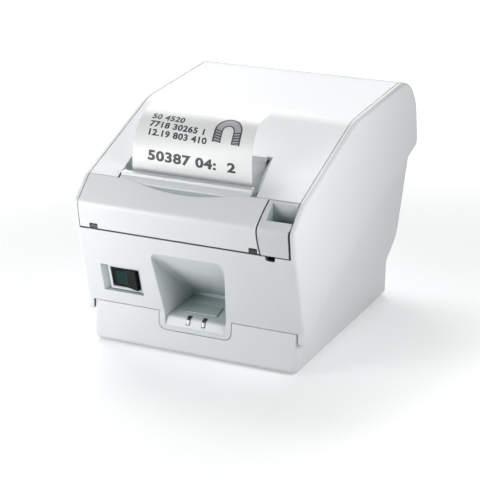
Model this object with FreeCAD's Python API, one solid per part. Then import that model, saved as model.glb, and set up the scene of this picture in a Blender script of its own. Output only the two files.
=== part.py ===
import FreeCAD, Part
import math
import os

# Desktop receipt printer for wide thermal paper, drawn in millimetres.
# X runs to the right of someone standing in front, Y runs from the nose to the back, Z is up.
# Everything is drawn with Y measured from the nose, then moved back by half the body
# depth, so the saved pieces have their origin on the table under the middle of the body.

Vector = FreeCAD.Vector
X_AXIS = Vector(1, 0, 0)
Y_AXIS = Vector(0, 1, 0)
Z_AXIS = Vector(0, 0, 1)

# Overall size of the body
body_width = 151.0
body_depth = 213.0
body_height = 148.0
foot_height = 1.2

# Side outline, from the chin up over the nose to the crown and down the back
chin_setback = 13.8
chin_height = 27.7
chin_seam_setback = 15.9
chin_wall_low = 10.0
lip_seam_height = 80.5
lip_seam_setback = 2.1
nose_height = 97.7
nose_overshoot = 0.28
lid_seam_setback = 15.5
lid_seam_height = 111.9
fold_setback = 96.0
fold_drop = 5.2
fold_radius = 45.0
crown_overshoot = 1.78
crown_inset = 7.4
crown_radius = 32.0
tail_overshoot = 0.45
tail_height = 101.0
tail_radius = 14.0
back_inset = 23.5
back_height = 36.0
plinth_inset = 42.0
plinth_rear_height = 24.0
plinth_rear_draft = 1.0
bottom_radius = 3.0

# A length past every face of the body, for the regions that cut and keep
far = 250.0

# Walls and gaps
cheek_wall = 3.5
cheek_edge_radius = 2.4
case_wall = 2.5
cover_wall = 2.2
seam_gap = 0.4
plinth_step = 4.5
plinth_edge_radius = 2.8
plinth_lap = 2.0
plinth_lap_front = 30.0
touch_gap = 0.3

# Side seam between the cheeks and the plinth
side_seam_front_height = 21.0
side_seam_knee_setback = 42.0
side_seam_knee_height = 35.5
side_seam_mid_setback = 126.0
side_seam_mid_height = 71.5
side_seam_back_height = 98.5

# Paper
paper_width = 82.5
paper_center = -5.55
paper_thickness = 0.15
roll_radius = 38.0
core_radius = 9.0
core_bore_radius = 6.5

# Roll bucket
bucket_radius = 50.0
bucket_wall = 1.5
bucket_center_inset = 68.0
bucket_center_height = 73.0
bucket_side_clearance = 2.3
bucket_rim_height = 95.0
bucket_end_front = 60.0
mouth_reach = 90.0
mouth_run = 120.0
mouth_front = 20.0

# Platen and print line
platen_setback = 36.0
platen_height = 88.0
platen_radius = 8.0
platen_end_clearance = 0.5
shaft_radius = 2.5
running_gap = 0.05
bushing_radius = 4.0

# Gear train on the left of the print frame
gear_module = 0.6
platen_gear_teeth = 28
idler_teeth = 48
motor_pinion_teeth = 15
gear_width = 4.4
mesh_slack = 0.12
motor_setback = 46.0
motor_height = 48.0
motor_radius = 17.5
motor_length = 22.0

# Hinge of the rear cover
hinge_inset = 8.0
hinge_height = 94.0
hinge_barrel_radius = 5.5
hinge_pin_radius = 1.5
hinge_barrel_inset = 17.5
hinge_ear_width = 10.0
case_back_top = 86.0

# Scoop, tongue and lip in the front panel
scoop_center = 1.1
scoop_top_height = 69.5
scoop_top_half = 25.6
scoop_bottom_height = 19.0
scoop_bottom_half = 20.6
scoop_depth = 42.0
scoop_back_half = 14.0
scoop_back_low = 30.5
scoop_back_high = 33.5
scoop_wall = 2.2
scoop_corner_radius = 4.0
scoop_foot_radius = 1.2
tongue_half = 25.0
tongue_bottom = 15.9
tongue_radius = 4.6
lip_crest_setback = 21.0
lip_crest_height = 25.4

# Power switch and the pocket it sits in
switch_x = -46.1
switch_height = 46.0
switch_flange_width = 23.4
switch_flange_height = 18.4
switch_flange_thickness = 1.4
switch_body_width = 21.6
switch_body_height = 17.2
switch_body_depth = 11.5
pocket_depth = 3.4
pocket_left = -62.0
pocket_left_floor = -58.6
pocket_margin = 0.7
rocker_width = 19.0
rocker_height = 14.2
rocker_tilt = 8.0
rocker_pivot_depth = 5.4
rocker_pin_radius = 1.3
rocker_gap = 0.35

# Window for the interface plate
window_half = 52.0
window_low = 7.2
window_high = 21.9

# Boards, posts, screws and the shelves that hold the bucket
board_bottom = 7.2
board_thickness = 1.6
board_left = -59.2
board_right = 59.2
board_front = 62.0
frame_foot_height = 26.0
screw_x = 64.2
screw_front = 36.0
screw_back_inset = 85.0
screw_radius = 1.5
tower_radius = 4.6
tower_top = 17.0
screw_head_radius = 2.8
frame_plate = 1.2
panel_board_left = -20.0
panel_board_right = 22.0
panel_board_front = 19.5
panel_board_back = 41.0
panel_board_low = 11.0
panel_board_thickness = 1.6
shelf_lag = 5.0
shelf_depth = 20.0
shelf_height = 70.0
shelf_reach = 60.0

# Feed key, light pipes, ledge and the pivots of the front cover
feed_key_x = 1.5
feed_key_half = 11.0
feed_key_front = 24.0
feed_key_back = 33.0
key_gap = 0.35
light_x = (-4.2, 6.4)
light_half = 1.4
light_stem_front = 19.0
ledge_thickness = 2.2
ledge_back = 9.4
front_axis_inset = 1.7
front_axis_rise = 1.9
front_pin_radius = 0.8
front_ear_radius = 1.6
front_ear_half = 2.5
front_ear_gap = 0.4
front_ear_left_inset = 10.2
front_ear_right_inset = 2.4
arm_x = 59.5
arm_thickness = 3.0

# Tops of the screw bosses, front and back
boss_tops = (48.0, 92.0)

# Rear cover with its exit trough and platen ears
trough_left = -52.0
trough_right = 39.6
trough_left_back = -53.2
trough_right_back = 34.6
trough_bevel = 2.8
trough_bevel_depth = 3.2
trough_wall = 1.8
trough_lip_setback = 30.0
trough_lip_height = 106.4
trough_back_floor = 122.0
trough_back_setback = 50.2
trough_back_top_setback = 52.4
trough_back_top_height = 128.0
notch_left = -50.7
notch_right = 41.5
notch_back = 22.7
blade_top = 104.1
blade_thickness = 1.0
front_wall_low = 104.6
skirt_drop = 14.0
ear_wall = 1.8
ear_setoff = 0.9
ear_round = 5.8

# Notches that let the tail of the lid swing down between the case walls
tail_notch_in = 3.4
tail_notch_front = 17.0
tail_notch_top = 108.0

# Ribs under the lid
rib_x = (-38.0, 0.0, 38.0)
rib_thickness = 1.4
rib_depth = 5.0
rib_front = 60.0
rib_back_inset = 14.0
rib_floor = 110.0

# Fixed blade
fixed_blade_edge = 28.2

# Gear teeth and their pins
tooth_thinning = 0.05
tip_shortening = 0.15
idler_phase = 0.0
idler_pin_radius = 2.0
motor_shaft_radius = 1.0

# Front cover
end_curve_radius = 70.0
end_curve_height = 97.0
lever_gap = 1.0
bar_front = 17.8
bar_foot_height = 113.2
bar_top_height = 115.0
bar_back = 22.2
bar_right = 39.0
badge_depth = 0.8

# Cover lever and latch
lever_side_gap = 0.7
lever_lower_setin = 0.7
lever_pocket_span = 16.6
lever_span = 21.7
pocket_lip_setback = 5.0
pocket_floor_height = 95.8
pocket_wall = 1.2
latch_setback = 20.0
latch_height = 66.0
latch_shaft_radius = 2.5
lever_foot_gap = 0.2
hook_thickness = 1.2
hook_tip_gap = 0.4

# Print frame and the axis of the cutter wheel
bearing_slack = 0.3
knob_axis_y = 15.0
knob_axis_z = 94.0
cutter_shaft_radius = 1.5

# Hand wheel of the cutter
knob_radius = 6.6
knob_width = 3.2
knob_grips = 8
knob_grip_reach = 7.2
knob_grip_radius = 1.1

# Head bracket
bracket_front = 16.6
bracket_top = 88.6
bracket_low = 71.0
bracket_wing_low = 80.0
bracket_setin = 2.8
lug_thickness = 0.9
head_pivot_y = 23.0
head_pivot_z = 73.6
head_pin_radius = 0.8

# Thermal head and its springs
head_face = 26.0
sink_front = 21.4
sink_back = 24.4
sink_low = 73.0
sink_high = 91.6
bead_radius = 2.2
spring_radius = 2.6
spring_wire = 0.5
spring_turns = 3
spring_x = (-36.0, -5.5, 25.0)
spring_height = 82.0
coil_steps = 8
coil_sides = 4

# Cutter
cutter_floor = 99.2
blade_low = 102.0
blade_high = 102.8
rack_x0 = 15.6
rack_x1 = 20.4
blade_rest_tip = 25.4
blade_vee = 1.6
blade_front = 13.6
bridge_half = 2.0
bridge_notch = 3.4
cutter_pinion_teeth = 14

# Paper ramp
ramp_end_setback = 38.0
ramp_wall_height = 3.0

# Printed ticket
ticket_start = 88.4
ticket_steps = 18

# Latch spring
coil_radius = 3.4
coil_wire = 0.7
coil_turns = 5
coil_pitch = 0.95

# Rocker
rocker_face = 3.0

# Foot of the feed key
key_foot = 17.0
key_foot_thickness = 1.2
key_flange = 1.2
key_proud = 0.5

# Sockets
inlet_x = -38.0
jack_x = -15.0
port_x = 10.0
plate_thickness = 1.2
plate_gap = 0.3
socket_height = 14.8
panel_screw_x = 48.2

# Rubber feet
feet_radius = 7.0
feet_x = 55.0
feet_front = 30.0
feet_back_inset = 63.0


def outline_corners():
    # Corners of the body seen from the side, each with the radius that rounds it
    return [
        (chin_setback, foot_height, bottom_radius),
        (chin_seam_setback, chin_height, 8.0),
        (lip_seam_setback, lip_seam_height, 8.0),
        (-nose_overshoot, nose_height, 5.0),
        (lid_seam_setback, lid_seam_height, 10.0),
        (fold_setback, fold_height, fold_radius),
        (body_depth - crown_inset, body_height + crown_overshoot, crown_radius),
        (body_depth + tail_overshoot, tail_height, tail_radius),
        (body_depth - back_inset, back_height, 22.0),
        (body_depth - plinth_inset, plinth_rear_height, 3.0),
        (body_depth - plinth_inset - plinth_rear_draft, foot_height, bottom_radius),
    ]


def turn_sign(corners):
    area = 0.0
    for i, (y, z, r) in enumerate(corners):
        y2, z2, r2 = corners[(i + 1) % len(corners)]
        area += y * z2 - y2 * z
    return 1.0 if area > 0 else -1.0


def inset_corners(corners, distance):
    # Moves every side of a closed outline inwards and keeps its arcs concentric
    sign = turn_sign(corners)
    count = len(corners)
    lines = []
    for i in range(count):
        y1, z1 = corners[i][:2]
        y2, z2 = corners[(i + 1) % count][:2]
        length = math.hypot(y2 - y1, z2 - z1)
        ny = -(z2 - z1) / length * sign
        nz = (y2 - y1) / length * sign
        lines.append((ny, nz, ny * y1 + nz * z1 + distance))
    moved = []
    for i in range(count):
        a1, b1, c1 = lines[i - 1]
        a2, b2, c2 = lines[i]
        det = a1 * b2 - a2 * b1
        y = (c1 * b2 - c2 * b1) / det
        z = (a1 * c2 - a2 * c1) / det
        convex = det * sign > 0
        radius = corners[i][2]
        if radius > 0:
            radius = radius - distance if convex else radius + distance
        moved.append((y, z, max(radius, 0.0)))
    return moved


def rounded_wire(corners, place):
    # Closed wire through the corners, each rounded by an arc of its own radius
    count = len(corners)
    cuts = []
    for i in range(count):
        y, z, radius = corners[i]
        yp, zp = corners[i - 1][:2]
        yn, zn = corners[(i + 1) % count][:2]
        back = math.hypot(yp - y, zp - z)
        ahead = math.hypot(yn - y, zn - z)
        by, bz = (yp - y) / back, (zp - z) / back
        ay, az = (yn - y) / ahead, (zn - z) / ahead
        dot = max(-1.0, min(1.0, by * ay + bz * az))
        half = math.acos(dot) / 2.0
        if radius <= 0.001 or half > math.pi / 2 - 0.001:
            cuts.append((place(y, z), None, place(y, z)))
            continue
        run = radius / math.tan(half)
        my, mz = by + ay, bz + az
        size = math.hypot(my, mz)
        reach = radius / math.sin(half) - radius
        start = place(y + by * run, z + bz * run)
        middle = place(y + my / size * reach, z + mz / size * reach)
        end = place(y + ay * run, z + az * run)
        cuts.append((start, middle, end))
    edges = []
    for i in range(count):
        start, middle, end = cuts[i]
        if middle is not None:
            edges.append(Part.Arc(start, middle, end).toShape())
        after = cuts[(i + 1) % count][0]
        if end.distanceToPoint(after) > 0.0001:
            edges.append(Part.LineSegment(end, after).toShape())
    return Part.Wire(edges)


def slab(corners, x0, x1):
    # Side outline pushed along X from x0 to x1
    full = [c if len(c) == 3 else (c[0], c[1], 0.0) for c in corners]
    wire = rounded_wire(full, lambda y, z: Vector(x0, y, z))
    return Part.Face(wire).extrude(Vector(x1 - x0, 0, 0))


def plan(corners, z0, z1):
    # Outline seen from above, pushed up from z0 to z1
    full = [c if len(c) == 3 else (c[0], c[1], 0.0) for c in corners]
    wire = rounded_wire(full, lambda x, y: Vector(x, y, z0))
    return Part.Face(wire).extrude(Vector(0, 0, z1 - z0))


def front(corners, y0, y1):
    # Outline seen from the front, pushed back from y0 to y1
    full = [c if len(c) == 3 else (c[0], c[1], 0.0) for c in corners]
    wire = rounded_wire(full, lambda x, z: Vector(x, y0, z))
    return Part.Face(wire).extrude(Vector(0, y1 - y0, 0))


def block(x0, x1, y0, y1, z0, z1):
    return Part.makeBox(x1 - x0, y1 - y0, z1 - z0, Vector(x0, y0, z0))


def rod_x(x0, x1, y, z, radius):
    return Part.makeCylinder(radius, x1 - x0, Vector(x0, y, z), X_AXIS)


def rod_y(x, y0, y1, z, radius):
    return Part.makeCylinder(radius, y1 - y0, Vector(x, y0, z), Y_AXIS)


def rod_z(x, y, z0, z1, radius):
    return Part.makeCylinder(radius, z1 - z0, Vector(x, y, z0), Z_AXIS)


def tube_x(x0, x1, y, z, radius, bore):
    return rod_x(x0, x1, y, z, radius).cut(rod_x(x0 - 1, x1 + 1, y, z, bore))


def save(name, shape):
    shape = shape.copy()
    shape.translate(Vector(0, -body_depth / 2, 0))
    shape.exportStep("parts/" + name + ".step")
    box = shape.BoundBox
    print(name, len(shape.Solids), shape.isValid(), round(shape.Volume, 1),
          [round(v, 2) for v in (box.XMin, box.XMax, box.YMin, box.YMax, box.ZMin, box.ZMax)])


os.makedirs("parts", exist_ok=True)

# Values that follow from the driving sizes
half_width = body_width / 2
inner_half = half_width - cheek_wall
plinth_half = half_width - plinth_step
hinge_barrel_half = plinth_half - hinge_barrel_inset
lever_right = inner_half - lever_side_gap
lever_lower_right = lever_right - lever_lower_setin
lever_pocket_left = lever_right - lever_pocket_span
end_curve_x = lever_right - lever_span
front_ear_x = (front_ear_left_inset - inner_half, end_curve_x - front_ear_right_inset)
fold_height = body_height - fold_drop
outline = outline_corners()
panel_run = lip_seam_height - chin_height
panel_rake = math.atan2(chin_seam_setback - lip_seam_setback, panel_run)
top_slope = (fold_height - lid_seam_height) / (fold_setback - lid_seam_setback)
paper_left = paper_center - paper_width / 2
paper_right = paper_center + paper_width / 2
hinge_setback = body_depth - hinge_inset
bucket_center_setback = body_depth - bucket_center_inset
screw_back = body_depth - screw_back_inset
feet_back = body_depth - feet_back_inset
shelf_front = bucket_center_setback + shelf_lag
shelf_back = shelf_front + shelf_depth
nip_setback = platen_setback - platen_radius


def panel_setback(z):
    # Where the raked front panel stands at a height
    return lip_seam_setback + (lip_seam_height - z) * math.tan(panel_rake)


def lid_skin(y):
    # Height of the flat sloping top between the lid seam and the fold
    return lid_seam_height + (y - lid_seam_setback) * top_slope


# Outer skins of the body before they are parted
wide_body = slab(outline, -half_width, half_width)
side_edges = [e for e in wide_body.Edges if abs(abs(e.CenterOfMass.x) - half_width) < 0.01]
wide_body = wide_body.makeFillet(cheek_edge_radius, side_edges)
slim_body = slab(outline, -plinth_half, plinth_half)
side_edges = [e for e in slim_body.Edges if abs(abs(e.CenterOfMass.x) - plinth_half) < 0.01]
slim_body = slim_body.makeFillet(plinth_edge_radius, side_edges)


case_hollow = inset_corners(outline, case_wall)
cover_hollow = inset_corners(outline, cover_wall)


def on_panel(shape, x, z):
    # Takes a piece drawn flat at the origin, front towards negative Y, to the raked panel
    shape = shape.copy()
    shape.rotate(Vector(0, 0, 0), X_AXIS, math.degrees(panel_rake))
    shape.translate(Vector(x, panel_setback(z), z))
    return shape


def funnel(grow, ahead):
    # Tapered hollow of the scoop, grown by a wall, with its mouth carried ahead of the panel
    top = scoop_top_height + grow
    low = scoop_bottom_height - grow
    y_top = panel_setback(top)
    y_low = panel_setback(low)
    wide = scoop_top_half + grow
    slim = scoop_bottom_half + grow
    back = scoop_back_half + grow
    rise = scoop_back_high - scoop_back_low + 2 * grow
    tilt = math.hypot(top - low, y_low - y_top)

    def mouth(u, v):
        share = v / tilt
        return Vector(scoop_center + u, y_low + (y_top - y_low) * share, low + (top - low) * share)

    def deep(u, v):
        return Vector(scoop_center + u, scoop_depth + grow, scoop_back_low - grow + v)

    top_round = scoop_corner_radius if grow == 0 else 0
    low_round = scoop_foot_radius if grow == 0 else 0
    mouth_corners = [(-slim, 0, low_round), (slim, 0, low_round),
                     (wide, tilt, top_round), (-wide, tilt, top_round)]
    deep_corners = [(-back, 0, low_round), (back, 0, low_round),
                    (back, rise, low_round), (-back, rise, low_round)]
    mouth_wire = rounded_wire(mouth_corners, mouth)
    loft = Part.makeLoft([mouth_wire, rounded_wire(deep_corners, deep)], True, True)
    if ahead > 0:
        loft = loft.fuse(Part.Face(mouth_wire).extrude(Vector(0, -ahead, 0)))
    return loft


# Seam between cheeks and plinth, as a region that lies below it
seam_back = body_depth + 10
seam_line = [
    (-5, side_seam_front_height),
    (chin_setback + 7, side_seam_front_height),
    (side_seam_knee_setback, side_seam_knee_height),
    (side_seam_mid_setback, side_seam_mid_height),
    (body_depth, side_seam_back_height),
    (seam_back, side_seam_back_height + 1),
]
below_seam = [(-5, -5)] + seam_line + [(seam_back, -5)]


def raised_seam(gap):
    # The same seam moved up by a gap, with everything above it
    return [(y, z + gap) for y, z in seam_line] + [(seam_back, far), (-5, far)]


# Lower case: the plinth with the rear wall that carries the cover hinge
plinth_inner = slab(case_hollow, -plinth_half + case_wall, plinth_half - case_wall)
plinth_shell = slim_body.cut(plinth_inner)
lap_region = slab([(y, z + plinth_lap) for y, z in seam_line] + [(seam_back, -5), (-5, -5)],
                  -plinth_half, plinth_half)
lap_region = lap_region.common(block(-plinth_half, plinth_half, plinth_lap_front, seam_back, -5, far))
plinth_shell = plinth_shell.common(slab(below_seam, -plinth_half, plinth_half).fuse(lap_region))
tail_half = half_width - cheek_wall - seam_gap - tail_notch_in
case_rear_cut = block(-tail_half - 0.1, tail_half + 0.1, bucket_center_setback + 20, body_depth + 5,
                      case_back_top, body_height + 5)
plinth_shell = plinth_shell.cut(case_rear_cut)
chin_wall = slim_body.cut(plinth_inner).common(
    block(-inner_half + seam_gap, inner_half - seam_gap, -1, chin_seam_setback + 8,
          chin_wall_low, chin_height - seam_gap / 2))
tongue_gap = front([
    (scoop_center - tongue_half - seam_gap, tongue_bottom - seam_gap, tongue_radius + seam_gap),
    (scoop_center + tongue_half + seam_gap, tongue_bottom - seam_gap, tongue_radius + seam_gap),
    (scoop_center + tongue_half + seam_gap, chin_height + 5, 0),
    (scoop_center - tongue_half - seam_gap, chin_height + 5, 0)], -5, 60)
lower_case = plinth_shell.fuse(chin_wall).cut(tongue_gap)

# Hinge ears that stand on the rear wall of the lower case
ear_profile = [
    (hinge_setback - hinge_barrel_radius * 0.85, hinge_height - 3.5, 0),
    (hinge_setback + hinge_barrel_radius * 0.8, hinge_height - 3.5, 0),
    (body_depth - 4.6, case_back_top - 1, 0),
    (body_depth - 7.2, case_back_top - 6, 0),
]
for side in (-1, 1):
    x_in = side * (hinge_barrel_half + seam_gap)
    x_out = side * (hinge_barrel_half + seam_gap + hinge_ear_width)
    low, high = min(x_in, x_out), max(x_in, x_out)
    ear = rod_x(low, high, hinge_setback, hinge_height, hinge_barrel_radius)
    ear = ear.fuse(slab(ear_profile, low, high))
    ear = ear.cut(rod_x(low - 1, high + 1, hinge_setback, hinge_height, hinge_pin_radius))
    lower_case = lower_case.fuse(ear)

# Window in the back of the plinth for the interface plate
window_cut = block(-window_half, window_half, body_depth - plinth_inset - 8, body_depth - plinth_inset + 2,
                   window_low, window_high)
lower_case = lower_case.cut(window_cut)

# Board posts, frame posts and the towers that take the case screws
board_back = body_depth - plinth_inset - case_wall - 2.3
frame_left_outer = paper_left - 6.4
frame_right_inner = paper_right + 5.3
floor_top = foot_height + case_wall
posts = []
for x in (board_left + 6, board_right - 6):
    for y in (board_front + 6, board_back - 10):
        posts.append(block(x - 2.6, x + 2.6, y - 2.6, y + 2.6, floor_top - 0.5, board_bottom))
for x in (frame_left_outer + frame_plate / 2, frame_right_inner + frame_plate / 2):
    posts.append(block(x - 3.5, x + 3.5, 31, 56, floor_top - 0.5, frame_foot_height))
for x in (-screw_x, screw_x):
    for y in (screw_front, screw_back):
        posts.append(rod_z(x, y, floor_top - 0.5, tower_top, tower_radius))
for x in (panel_board_left + 3, panel_board_right - 3):
    for y in (panel_board_front + 3, panel_board_back - 3):
        posts.append(block(x - 2.2, x + 2.2, y - 2.2, y + 2.2, floor_top - 0.5, panel_board_low))
for side in (-1, 1):
    x0, x1 = sorted((side * (plinth_half - case_wall + 0.5), side * shelf_reach))
    posts.append(slab([(shelf_front, shelf_height, 0), (shelf_back, shelf_height, 0),
                       (shelf_back, shelf_height - 4, 0), (shelf_front, shelf_height - 4, 0)], x0, x1))
lower_case = lower_case.fuse(posts)
for x in (-screw_x, screw_x):
    for y in (screw_front, screw_back):
        lower_case = lower_case.cut(rod_z(x, y, 0, 20, screw_radius + 0.2))
        lower_case = lower_case.cut(rod_z(x, y, 0, 10.0, screw_head_radius + 0.3))
lower_case = lower_case.removeSplitter()
save("lower_case", lower_case)


# Upper case: two cheeks joined by the front panel, the scoop and the ledge under the front cover

front_axis_y = lip_seam_setback + front_axis_inset
front_axis_z = lip_seam_height + front_axis_rise

cheeks = wide_body.common(slab(raised_seam(seam_gap), -half_width, half_width))
cheeks = cheeks.cut(block(-inner_half, inner_half, -5, body_depth + 5, 0, body_height + 5))
toe_inner = plinth_half + seam_gap
toes = wide_body.common(slab(raised_seam(seam_gap), -half_width, half_width)).common(
    block(-inner_half - 0.5, inner_half + 0.5, -5, chin_seam_setback + 8, 0, chin_height + 1))
toes = toes.cut(block(-toe_inner, toe_inner, -5, body_depth, 0, body_height))
skin_front = slab(outline, -inner_half, inner_half).cut(slab(case_hollow, -inner_half, inner_half))
panel = skin_front.common(block(-inner_half, inner_half, -5, chin_seam_setback + 8,
                                chin_height + seam_gap / 2, lip_seam_height - seam_gap / 2))
tongue = front([
    (scoop_center - tongue_half, tongue_bottom, tongue_radius),
    (scoop_center + tongue_half, tongue_bottom, tongue_radius),
    (scoop_center + tongue_half, chin_height + 2, 0),
    (scoop_center - tongue_half, chin_height + 2, 0)], -5, chin_seam_setback + 8)
tongue = tongue.common(skin_front)
ledge_top = lip_seam_height - seam_gap
ledge = block(-inner_half, inner_half, -5, ledge_back, ledge_top - ledge_thickness, ledge_top)
ledge = ledge.common(slab(outline, -inner_half, inner_half))
upper_case = cheeks.fuse([panel, tongue, ledge, toes])

funnel_outer = funnel(scoop_wall, 0)
funnel_outer = funnel_outer.cut(block(-90, 90, -20, panel_setback(scoop_bottom_height), 0, tongue_bottom))
body_side = slab(outline, -inner_half, inner_half)
upper_case = upper_case.fuse(funnel_outer.common(body_side))
scoop_air = funnel(0, 12)
upper_case = upper_case.cut(scoop_air)
lip_profile = [
    (chin_seam_setback - 0.7, scoop_bottom_height - 0.4, 0),
    (chin_seam_setback - 0.3, scoop_bottom_height + 0.6, 0),
    (lip_crest_setback - 3.2, lip_crest_height - 1.0, 3.0),
    (lip_crest_setback + 1.0, lip_crest_height + 0.2, 3.0),
    (scoop_depth + 0.5, scoop_back_low + 1.0, 0),
    (scoop_depth + 0.5, scoop_back_low - 1.5, 0),
    (chin_seam_setback + 3.0, scoop_bottom_height - 1.5, 0),
]
lip = slab(lip_profile, -inner_half, inner_half).common(scoop_air)
upper_case = upper_case.fuse(lip)
key_hole = block(feed_key_x - feed_key_half - key_gap, feed_key_x + feed_key_half + key_gap,
                 feed_key_front - key_gap, feed_key_back + key_gap, tongue_bottom, scoop_back_high + 5)
upper_case = upper_case.cut(key_hole)
for x in light_x:
    upper_case = upper_case.cut(block(x - light_half, x + light_half, chin_seam_setback - 3,
                                      lip_crest_setback + 0.6, scoop_bottom_height + 1.6,
                                      lip_crest_height + 3))
    upper_case = upper_case.cut(block(x - light_half, x + light_half, light_stem_front - 0.1,
                                      lip_crest_setback + 0.6, tongue_bottom - 1,
                                      scoop_bottom_height + 2))


def pocket(grow):
    # Recess of the power switch with its slanted left side, front towards negative Y
    left = pocket_left - switch_x - grow
    left_floor = pocket_left_floor - switch_x - grow
    right = switch_flange_width / 2 + pocket_margin + grow
    rise = switch_flange_height / 2 + pocket_margin + grow
    deep = pocket_depth + grow
    ahead = -2.0 if grow == 0 else 0.5
    slant = (left_floor - left) / pocket_depth
    corners = [(left + slant * ahead, ahead), (right, ahead), (right, deep), (left + slant * deep, deep)]
    return plan(corners, -rise, rise)


upper_case = upper_case.fuse(on_panel(pocket(scoop_wall), switch_x, switch_height))
upper_case = upper_case.cut(on_panel(pocket(0), switch_x, switch_height))
switch_hole = block(-switch_body_width / 2, switch_body_width / 2, 0, pocket_depth + scoop_wall + 2,
                    -switch_body_height / 2, switch_body_height / 2)
upper_case = upper_case.cut(on_panel(switch_hole, switch_x, switch_height))

# Slots in the ledge for the lever arm
arm_slot_half = arm_thickness / 2 + 2.2
upper_case = upper_case.cut(block(arm_x - arm_slot_half, arm_x + arm_slot_half, 4.4, ledge_back + 1,
                                  ledge_top - ledge_thickness - 0.5, ledge_top + 1))
lever_notch = front([(arm_x - 4.4, lip_seam_height - 3.2, 1.4), (arm_x + 2.0, lip_seam_height - 3.2, 1.4),
                     (arm_x + 2.0, lip_seam_height + 1, 0), (arm_x - 4.4, lip_seam_height + 1, 0)], -1, 6)
upper_case = upper_case.cut(lever_notch)

# Bosses that the case screws hold, each on a rib from its cheek
for side in (-1, 1):
    for y, top, rib_low in ((screw_front, boss_tops[0], 34.5), (screw_back, boss_tops[1], 76.5)):
        boss = rod_z(side * screw_x, y, tower_top, top, tower_radius - 1)
        x0, x1 = sorted((side * screw_x, side * (inner_half + 0.5)))
        boss = boss.fuse(block(x0, x1, y - 1.2, y + 1.2, rib_low, top))
        upper_case = upper_case.fuse(boss)
        upper_case = upper_case.cut(rod_z(side * screw_x, y, tower_top - 1, tower_top + 11, screw_radius))
upper_case = upper_case.removeSplitter()
save("upper_case", upper_case)

# Black ears on the ledge that the front cover tilts on
pivots = []
for x in front_ear_x:
    ear = rod_x(x - front_ear_half, x + front_ear_half, front_axis_y, front_axis_z, front_ear_radius)
    stem = block(x - front_ear_half, x + front_ear_half, front_axis_y - front_ear_radius,
                 front_axis_y + front_ear_radius, lip_seam_height - seam_gap / 2, front_axis_z)
    bore = rod_x(x - 5, x + 5, front_axis_y, front_axis_z, front_pin_radius + running_gap)
    pivots.append(ear.fuse(stem).cut(bore))
save("cover_pivots", Part.makeCompound(pivots))


# Rear cover: the lid over the paper, with the exit trough, platen ears and hinge barrel
lid_half = inner_half - seam_gap
lid_front = lid_seam_setback + seam_gap

lid_skin_solid = slab(outline, -lid_half, lid_half)
lid_air = slab(cover_hollow, -lid_half + cover_wall, lid_half - cover_wall)
lid_shell = lid_skin_solid.cut(lid_air)
skirt_line = [
    (lid_front, lid_seam_height - 7.5),
    (fold_setback, fold_height - skirt_drop),
    (body_depth - 45, body_height - skirt_drop - 4),
    (body_depth - 12, tail_height + 0.6),
    (body_depth + 5, tail_height + 0.6),
]
lid_region = slab(skirt_line + [(body_depth + 5, far), (lid_front, far)], -half_width, half_width)
rear_cover = lid_shell.common(lid_region)
front_wall = block(-lid_half, lid_half, lid_front, lid_front + cover_wall, front_wall_low, 130)
rear_cover = rear_cover.fuse(front_wall.common(lid_skin_solid))

ear_left = paper_left - ear_setoff - 0.5
ear_right = paper_right + ear_setoff + 0.5
trough_shape = [
    (trough_lip_setback, blade_top),
    (trough_lip_setback, trough_lip_height),
    (trough_back_setback, trough_back_floor),
    (trough_back_top_setback, 150),
    (trough_back_top_setback + trough_wall, 150),
    (trough_back_setback + trough_wall + 0.2, trough_back_floor - 1.4),
    (trough_lip_setback + 4.0, trough_lip_height - 0.4),
    (trough_lip_setback + 3.0, blade_top),
]


def trough_plan(left, right):
    # Outline of the trough from above, moved out by a margin on either side
    lead = lid_front - 3
    trail = trough_back_top_setback + trough_wall
    run = trough_back_top_setback - notch_back
    corners = []
    for y in (lead, trail):
        share = (y - notch_back) / run
        corners.append((trough_left - left + (trough_left_back - trough_left) * share, y))
        corners.append((trough_right + right + (trough_right_back - trough_right) * share, y))
    return plan([corners[0], corners[1], corners[3], corners[2]], 80, 160)


trough_block = trough_plan(trough_wall, trough_bevel + trough_wall)
trough_hole = trough_plan(0, 0)
trough_floor = slab(trough_shape, -70, 60).common(trough_block)
side_shape = [
    (notch_back, blade_top + 1.2),
    (trough_lip_setback + 3.0, blade_top),
    (trough_lip_setback + 4.0, trough_lip_height - 0.4),
    (trough_back_setback + trough_wall + 0.2, trough_back_floor - 1.4),
    (trough_back_top_setback + trough_wall, 150),
    (notch_back, 150),
]
trough_sides = slab(side_shape, -70, 60).common(trough_block).cut(trough_hole)
trough = trough_floor.fuse(trough_sides).common(lid_skin_solid)
trough_air = slab([(lid_front - 3, 80), (trough_lip_setback, 80), (trough_lip_setback, trough_lip_height),
                   (trough_back_setback, trough_back_floor),
                   (trough_back_top_setback, trough_back_top_height),
                   (trough_back_top_setback, 160), (lid_front - 3, 160)], -70, 60).common(trough_hole)
notch_air = block(notch_left, notch_right, lid_front - 3, notch_back, 80, 160)
rear_cover = rear_cover.fuse(trough).cut([trough_air, notch_air])


def bevel_face(y):
    # Section of the bevel beside the trough, at one setback
    top = lid_skin(y)
    share = (y - notch_back) / (trough_back_top_setback - notch_back)
    edge = trough_right + (trough_right_back - trough_right) * share
    points = [
        Vector(edge - 1, y, top - trough_bevel_depth - 1),
        Vector(edge, y, top - trough_bevel_depth),
        Vector(edge + trough_bevel * 1.3, y, top + trough_bevel_depth * 0.3),
        Vector(edge - 1, y, top + trough_bevel_depth * 0.3),
    ]
    return Part.makePolygon(points + [points[0]])


bevel_air = Part.makeLoft([bevel_face(lid_front - 3), bevel_face(trough_back_top_setback)], True, True)
rear_cover = rear_cover.cut(bevel_air)

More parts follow.
